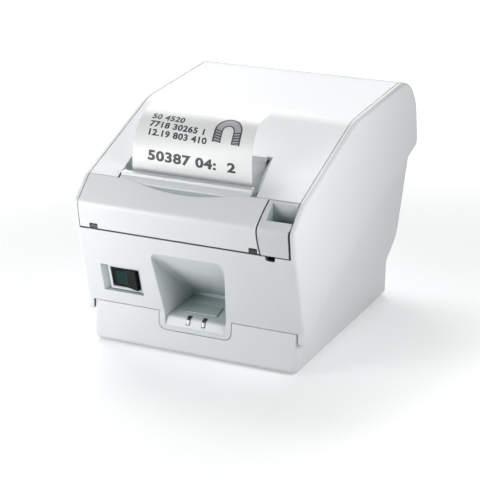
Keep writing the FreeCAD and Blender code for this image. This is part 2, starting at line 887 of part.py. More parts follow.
# Ears that carry the platen, hung under the trough
for x0, x1 in ((ear_left - ear_wall, ear_left), (ear_right, ear_right + ear_wall)):
    ear_plate = slab([
        (platen_setback - ear_round, platen_height, 0),
        (platen_setback - ear_round, blade_top + 0.2, 0),
        (platen_setback + 9, 120, 0),
        (platen_setback + 14, 120, 0),
        (platen_setback + ear_round, platen_height, 0)], x0, x1)
    ear_plate = ear_plate.fuse(rod_x(x0, x1, platen_setback, platen_height, ear_round))
    ear_plate = ear_plate.cut(trough_air)
    rear_cover = rear_cover.fuse(ear_plate.common(lid_skin_solid))
    rear_cover = rear_cover.cut(rod_x(x0 - 0.1, x1 + 0.1, platen_setback, platen_height, bushing_radius))

# Hinge barrel, joined to the skin by a solid root
barrel = rod_x(-hinge_barrel_half, hinge_barrel_half, hinge_setback, hinge_height, hinge_barrel_radius)
root = slab([
    (hinge_setback - hinge_barrel_radius, hinge_height, 0),
    (hinge_setback + hinge_barrel_radius, hinge_height, 0),
    (body_depth, tail_height - 3, 0),
    (body_depth + 1, tail_height + 5, 0),
    (hinge_setback - 1, tail_height + 6, 0)], -hinge_barrel_half, hinge_barrel_half).common(lid_skin_solid)
rear_cover = rear_cover.fuse([barrel, root])
rear_cover = rear_cover.cut(rod_x(-90, 90, hinge_setback, hinge_height, hinge_pin_radius + running_gap))
for x in rib_x:
    rib = slab(inset_corners(outline, cover_wall - 0.4), x - rib_thickness / 2, x + rib_thickness / 2)
    rib = rib.cut(slab(inset_corners(outline, cover_wall + rib_depth), x - 2, x + 2))
    rib = rib.common(block(x - 2, x + 2, rib_front, body_depth - rib_back_inset, rib_floor, far))
    rear_cover = rear_cover.fuse(rib)
for x0, x1 in ((-half_width, -tail_half), (tail_half, half_width)):
    rear_cover = rear_cover.cut(block(x0, x1, body_depth - tail_notch_front, body_depth + 5,
                                      tail_height - 5, tail_notch_top))
rear_cover = rear_cover.removeSplitter()
save("rear_cover", rear_cover)

# Steel rod of the cover hinge, through both ears and the barrel
pin_half = hinge_barrel_half + seam_gap + hinge_ear_width
save("hinge_rod", rod_x(-pin_half, pin_half, hinge_setback, hinge_height, hinge_pin_radius))

# Fixed blade under the lip of the trough
fixed_blade = plan([
    (paper_left - 1.0, fixed_blade_edge + 0.6), (paper_left - 0.2, fixed_blade_edge),
    (paper_right + 0.2, fixed_blade_edge), (paper_right + 1.0, fixed_blade_edge + 0.6),
    (paper_right + 1.0, trough_lip_setback + 3.2), (paper_left - 1.0, trough_lip_setback + 3.2)],
    blade_top - blade_thickness, blade_top)
save("fixed_blade", fixed_blade)

# Platen: rubber roller on a steel shaft, turning in two bronze bushings
roller_left = paper_left - platen_end_clearance
roller_right = paper_right + platen_end_clearance
frame_right_outer = frame_right_inner + frame_plate
frame_left_inner = frame_left_outer + frame_plate
gear_right = frame_left_outer - 0.8
gear_left = gear_right - gear_width
shaft_left = gear_left - 0.8
shaft_right = frame_right_outer + 1.0
platen_roller = tube_x(roller_left, roller_right, platen_setback, platen_height, platen_radius, shaft_radius)
save("platen_roller", platen_roller)
save("platen_shaft", rod_x(shaft_left, shaft_right, platen_setback, platen_height, shaft_radius))
bushing_bore = shaft_radius + running_gap
bushings = Part.makeCompound([
    tube_x(frame_left_outer - 0.3, ear_left, platen_setback, platen_height, bushing_radius, bushing_bore),
    tube_x(ear_right, frame_right_outer + 0.3, platen_setback, platen_height, bushing_radius, bushing_bore)])
save("platen_bushings", bushings)


# Gears with flanks through three points of the involute of their base circle
pressure_angle = math.radians(20)


def involute_turn(base, radius):
    # Angle that the involute has swept where it reaches a radius
    if radius <= base:
        return 0.0
    lean = math.acos(base / radius)
    return math.tan(lean) - lean


def gear_disc(teeth, x0, x1, y, z, phase):
    # Spur gear on an X axis, with one tooth centred at the phase angle
    pitch = gear_module * teeth / 2
    base = pitch * math.cos(pressure_angle)
    tip = pitch + gear_module * (1 - tip_shortening)
    root_radius = pitch - gear_module * 1.25
    half_pitch = math.pi / teeth / 2 - tooth_thinning / pitch / 2
    flank_zero = half_pitch + involute_turn(base, pitch)

    def at(radius, angle):
        return Vector(x0, y + radius * math.cos(angle), z + radius * math.sin(angle))

    start = max(base, root_radius)
    low = flank_zero - involute_turn(base, start)
    middle = (start + tip) / 2
    mid = flank_zero - involute_turn(base, middle)
    top = flank_zero - involute_turn(base, tip)
    flank = [(start, low), (middle, mid), (tip, top)]
    if start > root_radius + tooth_thinning:
        flank.insert(0, (root_radius, low))
    points = []
    for i in range(teeth):
        center = phase + 2 * math.pi * i / teeth
        points += [at(radius, center - turned) for radius, turned in flank]
        points += [at(radius, center + turned) for radius, turned in reversed(flank)]
    return Part.Face(Part.makePolygon(points + [points[0]])).extrude(Vector(x1 - x0, 0, 0))


def meshed_phase(phase, teeth, center, next_teeth, next_center):
    # Phase of the next gear so that its gap meets the tooth of this one
    line = math.atan2(next_center[1] - center[1], next_center[0] - center[0])
    radius = gear_module * teeth / 2
    next_radius = gear_module * next_teeth / 2
    step = (phase - line) * radius + math.pi * gear_module / 2
    return line + math.pi - step / next_radius


def meeting_point(a, reach_a, b, reach_b):
    # Where circles about a and b cross, on the side further back
    dy, dz = b[0] - a[0], b[1] - a[1]
    gap = math.hypot(dy, dz)
    along = (reach_a ** 2 - reach_b ** 2 + gap ** 2) / (2 * gap)
    aside = math.sqrt(reach_a ** 2 - along ** 2)
    return (a[0] + dy / gap * along - dz / gap * aside, a[1] + dz / gap * along + dy / gap * aside)


platen_center = (platen_setback, platen_height)
motor_center = (motor_setback, motor_height)
idler_reach = gear_module * (platen_gear_teeth + idler_teeth) / 2 + mesh_slack
pinion_reach = gear_module * (motor_pinion_teeth + idler_teeth) / 2 + mesh_slack
idler_center = meeting_point(platen_center, idler_reach, motor_center, pinion_reach)
platen_phase = meshed_phase(idler_phase, idler_teeth, idler_center, platen_gear_teeth, platen_center)
pinion_phase = meshed_phase(idler_phase, idler_teeth, idler_center, motor_pinion_teeth, motor_center)

platen_gear = gear_disc(platen_gear_teeth, gear_left, gear_right, platen_setback, platen_height, platen_phase)
platen_gear = platen_gear.cut(rod_x(gear_left - 1, gear_right + 1, platen_setback, platen_height,
                                    shaft_radius))
save("platen_gear", platen_gear)
idler_gear = gear_disc(idler_teeth, gear_left, gear_right, idler_center[0], idler_center[1], idler_phase)
for i in range(6):
    angle = math.pi / 3 * i
    idler_gear = idler_gear.cut(rod_x(gear_left - 1, gear_right + 1, idler_center[0] + 8.4 * math.cos(angle),
                                      idler_center[1] + 8.4 * math.sin(angle), 2.6))
idler_gear = idler_gear.cut(rod_x(gear_left - 1, gear_right + 1, idler_center[0], idler_center[1],
                                  idler_pin_radius + running_gap))
save("idler_gear", idler_gear)
idler_pin = rod_x(gear_left - 0.9, frame_left_outer, idler_center[0], idler_center[1], idler_pin_radius)
idler_pin = idler_pin.fuse(rod_x(gear_left - 0.9, gear_left - 0.3, idler_center[0], idler_center[1],
                                 idler_pin_radius + 1.2))
motor_pinion = gear_disc(motor_pinion_teeth, gear_left, gear_right, motor_setback, motor_height, pinion_phase)
motor_pinion = motor_pinion.fuse(rod_x(gear_right - 0.1, frame_left_inner + 1.5, motor_setback, motor_height,
                                       motor_shaft_radius))
save("motor_pinion", motor_pinion)

# Stepper that feeds the paper
motor_left = frame_left_inner
motor_body = rod_x(motor_left + 1.0, motor_left + motor_length, motor_setback, motor_height, motor_radius)
flange = slab([
    (motor_setback - 6, motor_height - 22, 5), (motor_setback + 6, motor_height - 22, 5),
    (motor_setback + 6, motor_height + 22, 5), (motor_setback - 6, motor_height + 22, 5)],
    motor_left, motor_left + 1.0)
feed_motor = motor_body.fuse(flange)
feed_motor = feed_motor.cut(rod_x(motor_left - 1, motor_left + 3, motor_setback, motor_height,
                                  motor_shaft_radius + running_gap))
save("feed_motor", feed_motor)


# Front cover: tilts forward on two pins just above the lip seam
front_bottom = lip_seam_height + 0.9

front_skin = slab(outline, -lid_half, 60).cut(slab(cover_hollow, -lid_half + cover_wall, 61))
front_cover = front_skin.common(block(-lid_half, 60, -5, lid_seam_setback, front_bottom, 130))
end_plate = slab(outline, -lid_half, -lid_half + cover_wall).common(
    block(-lid_half, 0, -5, lid_seam_setback, front_bottom, 130))
bead = rod_x(-lid_half, 60, front_axis_y, front_axis_z, front_axis_inset)
bar = slab([
    (lid_seam_setback - 3.0, lid_seam_height - 5.4, 0),
    (lid_seam_setback - 1.2, lid_seam_height - 1.2, 0),
    (bar_front, bar_foot_height, 0),
    (bar_front + 0.5, bar_top_height, 0.4),
    (bar_back, bar_top_height + 0.4, 0.4),
    (bar_back, bar_foot_height - 2.2, 0),
    (bar_front - 0.5, bar_foot_height - 2.6, 0)], notch_left + seam_gap, bar_right)
front_cover = front_cover.fuse([end_plate, bead])
end_round = rod_y(end_curve_x + end_curve_radius, -5, 40, end_curve_height, end_curve_radius)
front_cover = front_cover.cut(end_round)
for x in front_ear_x:
    reach = front_ear_half + front_ear_gap
    gap = block(x - reach, x + reach, -1, front_axis_y + 4, front_bottom - 1,
                front_axis_z + front_ear_radius + 0.5)
    front_cover = front_cover.cut(gap)
    front_cover = front_cover.fuse(rod_x(x - reach - 0.2, x + reach + 0.2, front_axis_y, front_axis_z,
                                         front_pin_radius))
slope_angle = math.degrees(math.atan2(lid_seam_height - nose_height, lid_seam_setback))
badge = rod_z(0, 0, -badge_depth, 5, 122.0)
badge.translate(Vector(0, 122.0, 0))
badge = badge.common(block(-60, 60, -10, 6.4, -2, 6))
badge.rotate(Vector(0, 0, 0), X_AXIS, slope_angle)
badge.translate(Vector(-4.5, lid_seam_setback - 4.4, lid_seam_height - 4.0))
front_cover = front_cover.cut(badge)
front_cover = front_cover.removeSplitter()
save("front_cover", front_cover)
save("tear_bar", bar.cut(front_cover))

# Cover lever: shell with a finger pocket, and the arm that works the latch shaft
lever_bottom = lip_seam_height + 0.5
lever_shell = slab(outline, 40, lever_right).cut(slab(cover_hollow, 39, lever_right + 1))
lever_side = slab(outline, lever_lower_right - pocket_wall, lever_lower_right).common(
    block(60, 80, -5, lid_seam_setback - 0.2, lever_bottom, pocket_floor_height))
lever_shell = lever_shell.common(block(40, lever_right, -5, lid_seam_setback - 0.2, lever_bottom, 130))
pocket_back = lid_seam_setback - 0.2
pocket_box = slab([
    (pocket_lip_setback - pocket_wall, nose_height + 0.5),
    (pocket_lip_setback, pocket_floor_height - pocket_wall),
    (pocket_back, pocket_floor_height - pocket_wall), (pocket_back, 130),
    (pocket_lip_setback - pocket_wall, 130)],
    lever_pocket_left - 1.5, lever_right).common(slab(outline, 40, lever_right))
pocket_air = slab([
    (pocket_lip_setback, nose_height + 4.5), (pocket_lip_setback + pocket_wall + 0.4, pocket_floor_height),
    (pocket_back - pocket_wall, pocket_floor_height), (pocket_back - pocket_wall, 140),
    (pocket_lip_setback - 8, 140), (pocket_lip_setback - 8, nose_height + 4.5)],
    lever_pocket_left, lever_right + 1)
arm = slab([
    (6.2, lever_bottom + 1.0, 0), (12.0, lever_bottom + 1.0, 0), (13.5, pocket_floor_height - 0.5, 0),
    (3.4, pocket_floor_height - 0.5, 0)], arm_x - arm_thickness / 2, arm_x + arm_thickness / 2)
arm_lower = slab([
    (7.6, lever_bottom + 2.0, 0), (latch_setback - 4.4, latch_height - 1.0, 0),
    (latch_setback + 3.0, latch_height + 3.2, 0), (12.4, lever_bottom + 2.0, 0)],
    arm_x - arm_thickness / 2, arm_x + arm_thickness / 2)
arm_hub = rod_x(arm_x - arm_thickness / 2 - 1, arm_x + arm_thickness / 2 + 1, latch_setback,
                latch_height, 4.6)
cover_lever = lever_shell.fuse([pocket_box, lever_side]).cut(pocket_air)
cover_lever = cover_lever.cut(block(lever_lower_right, 80, -5, 5.2, 70, nose_height + 0.8))
lever_keep = rod_y(end_curve_x + end_curve_radius, -5, 40, end_curve_height, end_curve_radius - lever_gap)
cover_lever = cover_lever.common(lever_keep)
lever_sweep = math.hypot(latch_setback - lip_seam_setback, lip_seam_height - latch_height) + lever_foot_gap
cover_lever = cover_lever.cut(rod_x(40, 80, latch_setback, latch_height, lever_sweep))
cover_lever = cover_lever.fuse([arm, arm_lower, arm_hub])
cover_lever = cover_lever.cut(rod_x(arm_x - 5, arm_x + 5, latch_setback, latch_height, latch_shaft_radius))
cover_lever = cover_lever.removeSplitter()
save("cover_lever", cover_lever)
latch_shaft = rod_x(frame_left_outer - 0.4, arm_x + arm_thickness / 2 + 1.6, latch_setback, latch_height,
                    latch_shaft_radius)
save("latch_shaft", latch_shaft)
hooks = []
for x in (frame_left_inner + 0.3, frame_right_inner - 0.3 - hook_thickness):
    hook = slab([
        (latch_setback - 4.2, latch_height, 0), (23.4, 84.0, 0), (24.0, 94.6, 1.5),
        (platen_setback - bushing_radius - hook_tip_gap, 93.8, 0.8),
        (platen_setback - bushing_radius - hook_tip_gap, 91.4, 0.5), (28.4, 90.6, 0), (27.6, 84.0, 0),
        (latch_setback + 4.2, latch_height, 0)], x, x + hook_thickness)
    hook = hook.fuse(rod_x(x, x + hook_thickness, latch_setback, latch_height, 4.4))
    hooks.append(hook.cut(rod_x(x - 1, x + 3, latch_setback, latch_height, latch_shaft_radius)))
save("latch_hooks", Part.makeCompound(hooks))

# Print frame: two steel side plates, with an open notch for each platen bushing
frame_outline = [
    (10.5, 62.5, 2.0), (29.0, 59.5, 2.0), (29.0, frame_foot_height, 1.0), (58.0, frame_foot_height, 1.0),
    (63.0, 46.0, 6.0), (57.0, 72.0, 6.0), (47.0, 98.6, 3.0), (32.0, 98.6, 0), (26.6, 102.8, 1.0),
    (13.2, 102.8, 1.0), (9.2, 98.6, 1.0)]


def frame_side(x0, x1):
    plate = slab(frame_outline, x0, x1)
    notch = bushing_radius + bearing_slack
    plate = plate.cut(rod_x(x0 - 1, x1 + 1, platen_setback, platen_height, notch))
    plate = plate.cut(block(x0 - 1, x1 + 1, platen_setback - notch, platen_setback + notch, platen_height,
                            110))
    plate = plate.cut(rod_x(x0 - 1, x1 + 1, latch_setback, latch_height, latch_shaft_radius + running_gap))
    return plate


frame_left = frame_side(frame_left_outer, frame_left_inner)
frame_left = frame_left.cut(rod_x(frame_left_outer - 1, frame_left_inner + 1, motor_setback, motor_height,
                                  motor_shaft_radius + 1.5))
frame_left = frame_left.cut(rod_x(frame_left_outer - 1, frame_left_inner + 1, idler_center[0],
                                  idler_center[1], idler_pin_radius))
idler_pin = idler_pin.fuse(rod_x(frame_left_outer, frame_left_inner, idler_center[0], idler_center[1],
                                 idler_pin_radius))
save("idler_pin", idler_pin)
save("frame_side_left", frame_left)
frame_right = frame_side(frame_right_inner, frame_right_outer)
frame_right = frame_right.cut(rod_x(frame_right_inner - 1, frame_right_outer + 1, knob_axis_y, knob_axis_z,
                                    cutter_shaft_radius + running_gap))
save("frame_side_right", frame_right)

# Cross member behind the front cover, with the shelf for the cutter motor
head_left = paper_left - 1.6
head_right = paper_right + 1.6
bracket = block(frame_left_inner, frame_right_inner, bracket_front, bracket_front + frame_plate,
                bracket_wing_low, bracket_top)
bracket = bracket.fuse(block(frame_left_inner + bracket_setin, frame_right_inner - bracket_setin,
                             bracket_front, bracket_front + frame_plate, bracket_low, bracket_wing_low))
shelf = block(-18, 30, 9.4, bracket_front + frame_plate, bracket_top - frame_plate, bracket_top)
lugs = []
for outer, inner in ((head_left - 0.3 - lug_thickness, head_left - 0.3),
                     (head_right + 0.3, head_right + 0.3 + lug_thickness)):
    lugs.append(slab([(bracket_front, bracket_low + 0.2, 0), (head_pivot_y + 1.6, bracket_low + 0.6, 1.2),
                      (head_pivot_y + 1.6, head_pivot_z + 1.8, 1.2), (bracket_front, head_pivot_z + 5, 0)],
                     outer, inner))
lugs.append(rod_x(head_left - 0.4, head_left + 2.2, head_pivot_y, head_pivot_z, head_pin_radius))
lugs.append(rod_x(head_right - 2.2, head_right + 0.4, head_pivot_y, head_pivot_z, head_pin_radius))
head_bracket = bracket.fuse([shelf] + lugs)
save("head_bracket", head_bracket.removeSplitter())

# Thermal head: ceramic strip on a heat sink that floats on springs
bead_face = nip_setback - touch_gap - paper_thickness - touch_gap
head_sink = block(head_left, head_right, sink_front, sink_back, sink_low, sink_high)
for i in range(9):
    fin_x = head_left + 6 + i * (head_right - head_left - 12) / 8
    head_sink = head_sink.cut(block(fin_x - 1.5, fin_x + 1.5, sink_front - 1, sink_front + 1.4, sink_low + 3,
                                    sink_low + 8))
head_sink = head_sink.fuse(rod_x(head_left, head_right, head_pivot_y, head_pivot_z, 1.4))
for x0 in (head_left - 1, head_right - 2.6):
    head_sink = head_sink.cut(rod_x(x0, x0 + 3.6, head_pivot_y, head_pivot_z, head_pin_radius + running_gap))
save("head_sink", head_sink.removeSplitter())
ceramic = block(head_left + 0.5, head_right - 0.5, sink_back, head_face, 79.0, sink_high - 0.4)
glaze = rod_x(head_left + 2, head_right - 2, bead_face - bead_radius, platen_height, bead_radius).common(
    block(-90, 90, head_face - 0.5, bead_face + 1, platen_height - 2 * bead_radius,
          platen_height + 2 * bead_radius))
save("thermal_head", ceramic.fuse(glaze).removeSplitter())
spring_front = bracket_front + frame_plate
spring_length = sink_front - spring_front - 0.5


def coil_spring(radius, wire, pitch, turns):
    # Coil about the Z axis from the origin up
    rings = []
    for i in range(turns * coil_steps + 1):
        angle = 2 * math.pi * i / coil_steps
        rise = pitch * i / coil_steps
        points = []
        for k in range(coil_sides):
            lean = 2 * math.pi * k / coil_sides
            reach = radius + wire / 2 * math.cos(lean)
            lift = rise + wire / 2 * math.sin(lean)
            points.append(Vector(reach * math.cos(angle), reach * math.sin(angle), lift))
        rings.append(Part.makePolygon(points + [points[0]]))
    return Part.makeLoft(rings, True, True)


springs = []
for x in spring_x:
    spring = coil_spring(spring_radius, spring_wire, (spring_length - spring_wire) / spring_turns,
                         spring_turns)
    spring.rotate(Vector(0, 0, 0), X_AXIS, -90)
    spring.translate(Vector(x, spring_front + spring_wire / 2, spring_height))
    springs.append(spring)
save("head_springs", Part.makeCompound(springs))

# Cutter: sheet frame, sliding blade on a carrier with a rack, gearmotor and hand wheel
blade_left = paper_left - 1.0
blade_right = paper_right + 1.0
cutter_frame = block(frame_left_inner, frame_right_inner, 9.4, 26.2, cutter_floor, cutter_floor + 0.8)
cutter_frame = cutter_frame.fuse([
    block(frame_left_inner, frame_left_inner + 0.8, 13.4, 25.8, cutter_floor, blade_top),
    block(frame_right_inner - 0.8, frame_right_inner, 13.4, 25.8, cutter_floor, blade_top),
    block(frame_left_inner, frame_right_inner, 14.2, 25.6, blade_high + 0.3, blade_top - 0.2)])
cutter_frame = cutter_frame.cut(block(rack_x0 - 0.5, rack_x1 + 0.5, 9, 27, cutter_floor - 1,
                                      cutter_floor + 1))
save("cutter_frame", cutter_frame.removeSplitter())
moving_blade = plan([
    (blade_left, blade_front), (blade_right, blade_front), (blade_right, blade_rest_tip),
    (paper_center + bridge_notch, blade_rest_tip - blade_vee),
    (paper_center + bridge_notch, blade_rest_tip - 9),
    (paper_center - bridge_notch, blade_rest_tip - 9),
    (paper_center - bridge_notch, blade_rest_tip - blade_vee),
    (blade_left, blade_rest_tip)], blade_low, blade_high)
save("moving_blade", moving_blade)
cutter_pinion_radius = gear_module * cutter_pinion_teeth / 2
rack_line = knob_axis_z + cutter_pinion_radius + mesh_slack
carrier = block(-34, 24, blade_front, 20.8, cutter_floor + 0.8 + 0.2, blade_low)
tooth_pitch = math.pi * gear_module
slope_width = gear_module * math.tan(pressure_angle)
rack_half = tooth_pitch / 4 - tooth_thinning
rack_points = []
for i in range(-3, 3):
    y = knob_axis_y + i * tooth_pitch
    rack_points += [
        (y - rack_half - slope_width, rack_line + gear_module),
        (y - rack_half + slope_width * 0.85, rack_line - gear_module * 0.85),
        (y + rack_half - slope_width * 0.85, rack_line - gear_module * 0.85),
        (y + rack_half + slope_width, rack_line + gear_module)]
rack_back = rack_points[-1][0]
rack_front = rack_points[0][0]
rack = slab(rack_points + [(rack_back, blade_low - 1.0), (rack_front, blade_low - 1.0)], rack_x0, rack_x1)
blade_carrier = carrier.fuse(rack)
save("blade_carrier", blade_carrier.removeSplitter())
pinion_phase_cut = math.pi / 2 + math.pi / cutter_pinion_teeth
cutter_pinion = gear_disc(cutter_pinion_teeth, rack_x0 + 0.3, rack_x1 - 0.3, knob_axis_y, knob_axis_z,
                          pinion_phase_cut)
cutter_pinion = cutter_pinion.fuse(rod_x(rack_x0 - 2.6, frame_right_outer + 1.0, knob_axis_y, knob_axis_z,
                                         cutter_shaft_radius))
wheel_left = frame_right_outer + 1.0
wheel = rod_x(wheel_left, wheel_left + knob_width, knob_axis_y, knob_axis_z, knob_radius)
for i in range(knob_grips):
    angle = 2 * math.pi / knob_grips * i
    wheel = wheel.cut(rod_x(wheel_left - 1, wheel_left + 5, knob_axis_y + knob_grip_reach * math.cos(angle),
                            knob_axis_z + knob_grip_reach * math.sin(angle), knob_grip_radius))
cutter_pinion = cutter_pinion.fuse(wheel)
save("cutter_pinion", cutter_pinion.removeSplitter())
cutter_motor = block(-16, rack_x0 - 1.2, 10.0, 20.4, bracket_top, 98.8)
cutter_motor = cutter_motor.fuse(rod_x(-26, -16, knob_axis_y + 0.2, knob_axis_z - 0.2, 4.9))
save("cutter_motor", cutter_motor.cut(rod_x(rack_x0 - 3, rack_x0, knob_axis_y, knob_axis_z,
                                            cutter_shaft_radius + running_gap)))


# Roll bucket: trough for the drop-in roll, with the ramp that leads the paper to the print line
bucket_left = paper_left - bucket_side_clearance
bucket_right = paper_right + bucket_side_clearance
roll_center = (bucket_center_setback, bucket_center_height - bucket_radius + touch_gap + roll_radius)
span_y = roll_center[0] - platen_setback
span_z = roll_center[1] - platen_height
span = math.hypot(span_y, span_z)
path_reach = platen_radius + touch_gap
roll_reach = roll_radius + touch_gap
web_angle = math.atan2(span_z, span_y) - math.acos((path_reach - roll_reach) / span)
normal_y = math.cos(web_angle)
normal_z = math.sin(web_angle)


def along_web(center, reach, forward):
    # Point off a centre at right angles to the web, then forward along the web
    return (center[0] + normal_y * reach + normal_z * forward,
            center[1] + normal_z * reach - normal_y * forward)


bucket_center = (bucket_center_setback, bucket_center_height)
ramp_run = (bucket_center_setback + normal_y * bucket_radius - ramp_end_setback) / -normal_z
ramp_inner_0 = along_web(bucket_center, bucket_radius, -2)
ramp_inner_1 = along_web(bucket_center, bucket_radius, ramp_run)
ramp_outer_0 = along_web(bucket_center, bucket_radius + bucket_wall, -2)
ramp_outer_1 = along_web(bucket_center, bucket_radius + bucket_wall, ramp_run)
ramp_top_0 = along_web(bucket_center, bucket_radius - ramp_wall_height, -2)
ramp_top_1 = along_web(bucket_center, bucket_radius - ramp_wall_height, ramp_run)
bowl = tube_x(bucket_left - bucket_wall, bucket_right + bucket_wall, bucket_center_setback,
              bucket_center_height, bucket_radius + bucket_wall, bucket_radius)
mouth = slab([
    bucket_center, along_web(bucket_center, mouth_reach, 0), along_web(bucket_center, mouth_reach, mouth_run),
    (mouth_front, far), (bucket_center_setback + mouth_reach, far),
    (bucket_center_setback + mouth_reach, bucket_rim_height),
    (bucket_center_setback, bucket_rim_height)], bucket_left - 3, bucket_right + 3)
bowl = bowl.cut(mouth)
ramp = slab([ramp_inner_0, ramp_inner_1, ramp_outer_1, ramp_outer_0], bucket_left - bucket_wall,
            bucket_right + bucket_wall)
roll_bucket = bowl.fuse(ramp)
sides = []
for x0, x1 in ((bucket_left - bucket_wall, bucket_left), (bucket_right, bucket_right + bucket_wall)):
    disc = rod_x(x0, x1, bucket_center_setback, bucket_center_height, bucket_radius + bucket_wall)
    disc = disc.common(block(x0, x1, bucket_end_front, far, 0, bucket_rim_height))
    sides.append(disc)
    sides.append(slab([ramp_top_0, ramp_top_1, ramp_outer_1, ramp_outer_0], x0, x1))
flanges = [
    block(-shelf_reach - 5, bucket_left - bucket_wall / 2, shelf_front + 1, shelf_back - 1, shelf_height,
          shelf_height + 2),
    block(bucket_right + bucket_wall / 2, shelf_reach + 5, shelf_front + 1, shelf_back - 1, shelf_height,
          shelf_height + 2)]
roll_bucket = roll_bucket.fuse(sides + flanges)
roll_bucket = roll_bucket.removeSplitter()
save("roll_bucket", roll_bucket)

# Paper: the roll on its core, the web up to the print line, and the printed ticket above it
save("paper_roll", tube_x(paper_left, paper_right, roll_center[0], roll_center[1], roll_radius, core_radius))
save("roll_core", tube_x(paper_left, paper_right, roll_center[0], roll_center[1], core_radius,
                         core_bore_radius))


def arc_point(center, reach, angle):
    return Vector(paper_left, center[0] + reach * math.cos(angle), center[1] + reach * math.sin(angle))


turn = math.radians(180) - math.pi * 2
mid_turn = (web_angle + turn) / 2
inner_reach = path_reach
outer_reach = path_reach + paper_thickness
a0 = arc_point(roll_center, roll_reach, web_angle)
a1 = arc_point(platen_center, inner_reach, web_angle)
a2 = arc_point(platen_center, inner_reach, mid_turn)
a3 = arc_point(platen_center, inner_reach, turn)
b3 = arc_point(platen_center, outer_reach, turn)
b2 = arc_point(platen_center, outer_reach, mid_turn)
b1 = arc_point(platen_center, outer_reach, web_angle)
b0 = arc_point(roll_center, roll_reach + paper_thickness, web_angle)
web_wire = Part.Wire([
    Part.LineSegment(a0, a1).toShape(), Part.Arc(a1, a2, a3).toShape(), Part.LineSegment(a3, b3).toShape(),
    Part.Arc(b3, b2, b1).toShape(), Part.LineSegment(b1, b0).toShape(), Part.LineSegment(b0, a0).toShape()])
save("paper_web", Part.Face(web_wire).extrude(Vector(paper_width, 0, 0)))

strip_front = nip_setback - touch_gap - paper_thickness
strip_back = nip_setback - touch_gap
cut_low = blade_low - 0.4
cut_high = blade_top - blade_thickness
ticket_right = [
    (strip_back, cut_high), (strip_back - 0.3, 106.5), (26.5, 111.5), (25.6, 117.6), (25.4, 125.2),
    (25.5, 133.0), (27.4, 140.3), (31.8, 147.2), (39.1, 151.7), (52.2, 153.6)]
ticket_left = [
    (strip_back, cut_high), (strip_back - 0.2, 106.5), (26.8, 111.5), (26.3, 117.2), (27.4, 129.0),
    (33.5, 140.3), (42.2, 147.2), (52.4, 150.6), (64.0, 151.9)]


def ticket_edge(points, x):
    # Thin closed strip along a curve through the points
    curve = Part.BSplineCurve()
    curve.interpolate([Vector(x, y, z) for y, z in points])
    first, last = curve.FirstParameter, curve.LastParameter
    length = curve.length()
    outer = []
    inner = []
    for i in range(ticket_steps + 1):
        u = curve.parameterAtDistance(length * i / ticket_steps, first)
        u = min(u, last)
        p = curve.value(u)
        along = curve.tangent(u)[0]
        side = Vector(0, -along.z, along.y)
        outer.append(p)
        inner.append(p + side * paper_thickness)
    return Part.makePolygon(outer + list(reversed(inner)) + [outer[0]])


curl = Part.makeLoft([ticket_edge(ticket_left, paper_left), ticket_edge(ticket_right, paper_right)],
                     True, True)
lower_strip = block(paper_left, paper_right, strip_front, strip_back, ticket_start, cut_low)
bridge = block(paper_center - bridge_half, paper_center + bridge_half, strip_front, strip_back, cut_low - 0.5,
               cut_high + 0.5)
printed_ticket = curl.fuse([lower_strip, bridge])
save("printed_ticket", printed_ticket)

# Torsion spring that returns the cover lever
coil_left = frame_right_outer + 1.4
latch_spring = coil_spring(coil_radius, coil_wire, coil_pitch, coil_turns)
latch_spring.rotate(Vector(0, 0, 0), Y_AXIS, 90)
latch_spring.translate(Vector(coil_left + coil_wire / 2, latch_setback, latch_height))
save("latch_spring", latch_spring)

# Power switch: body clipped into the pocket and a two-faced rocker on two pins
cavity_half = rocker_width / 2 + rocker_gap + 0.3
cavity_rise = rocker_height / 2 + rocker_gap
bezel_front = pocket_depth - switch_flange_thickness
switch_body = block(-switch_flange_width / 2, switch_flange_width / 2, bezel_front, pocket_depth,
                    -switch_flange_height / 2, switch_flange_height / 2)
switch_body = switch_body.fuse(block(-switch_body_width / 2, switch_body_width / 2, pocket_depth,
                                     pocket_depth + switch_body_depth, -switch_body_height / 2,
                                     switch_body_height / 2))
switch_body = switch_body.cut(block(-cavity_half, cavity_half, bezel_front - 1, rocker_pivot_depth + 4.2,
                                    -cavity_rise, cavity_rise))
for x in (-5.0, 5.0):
    switch_body = switch_body.fuse(block(x - 0.4, x + 0.4, pocket_depth + switch_body_depth,
                                         pocket_depth + switch_body_depth + 1.6, -2.4, 2.4))
switch_body = switch_body.cut(rod_z(0, rocker_pivot_depth, -cavity_rise - 0.8, cavity_rise + 0.8,
                                    rocker_pin_radius + running_gap))
save("switch_body", on_panel(switch_body, switch_x, switch_height))
rocker_half = rocker_width / 2
rocker_end = rocker_face + rocker_half * math.tan(math.radians(rocker_tilt))
power_rocker = plan([
    (-rocker_half, -rocker_end, 0.5), (0, -rocker_face, 6.0), (rocker_half, -rocker_end, 0.5),
    (rocker_half, -1.4, 0.6), (3.2, 2.6, 1.2), (-3.2, 2.6, 1.2), (-rocker_half, -1.4, 0.6)],
    -rocker_height / 2, rocker_height / 2)
power_rocker = power_rocker.fuse(rod_z(0, 0, -cavity_rise - 0.6, cavity_rise + 0.6, rocker_pin_radius))
power_rocker.rotate(Vector(0, 0, 0), Z_AXIS, -rocker_tilt)
power_rocker.translate(Vector(0, rocker_pivot_depth, 0))
save("power_rocker", on_panel(power_rocker.removeSplitter(), switch_x, switch_height))

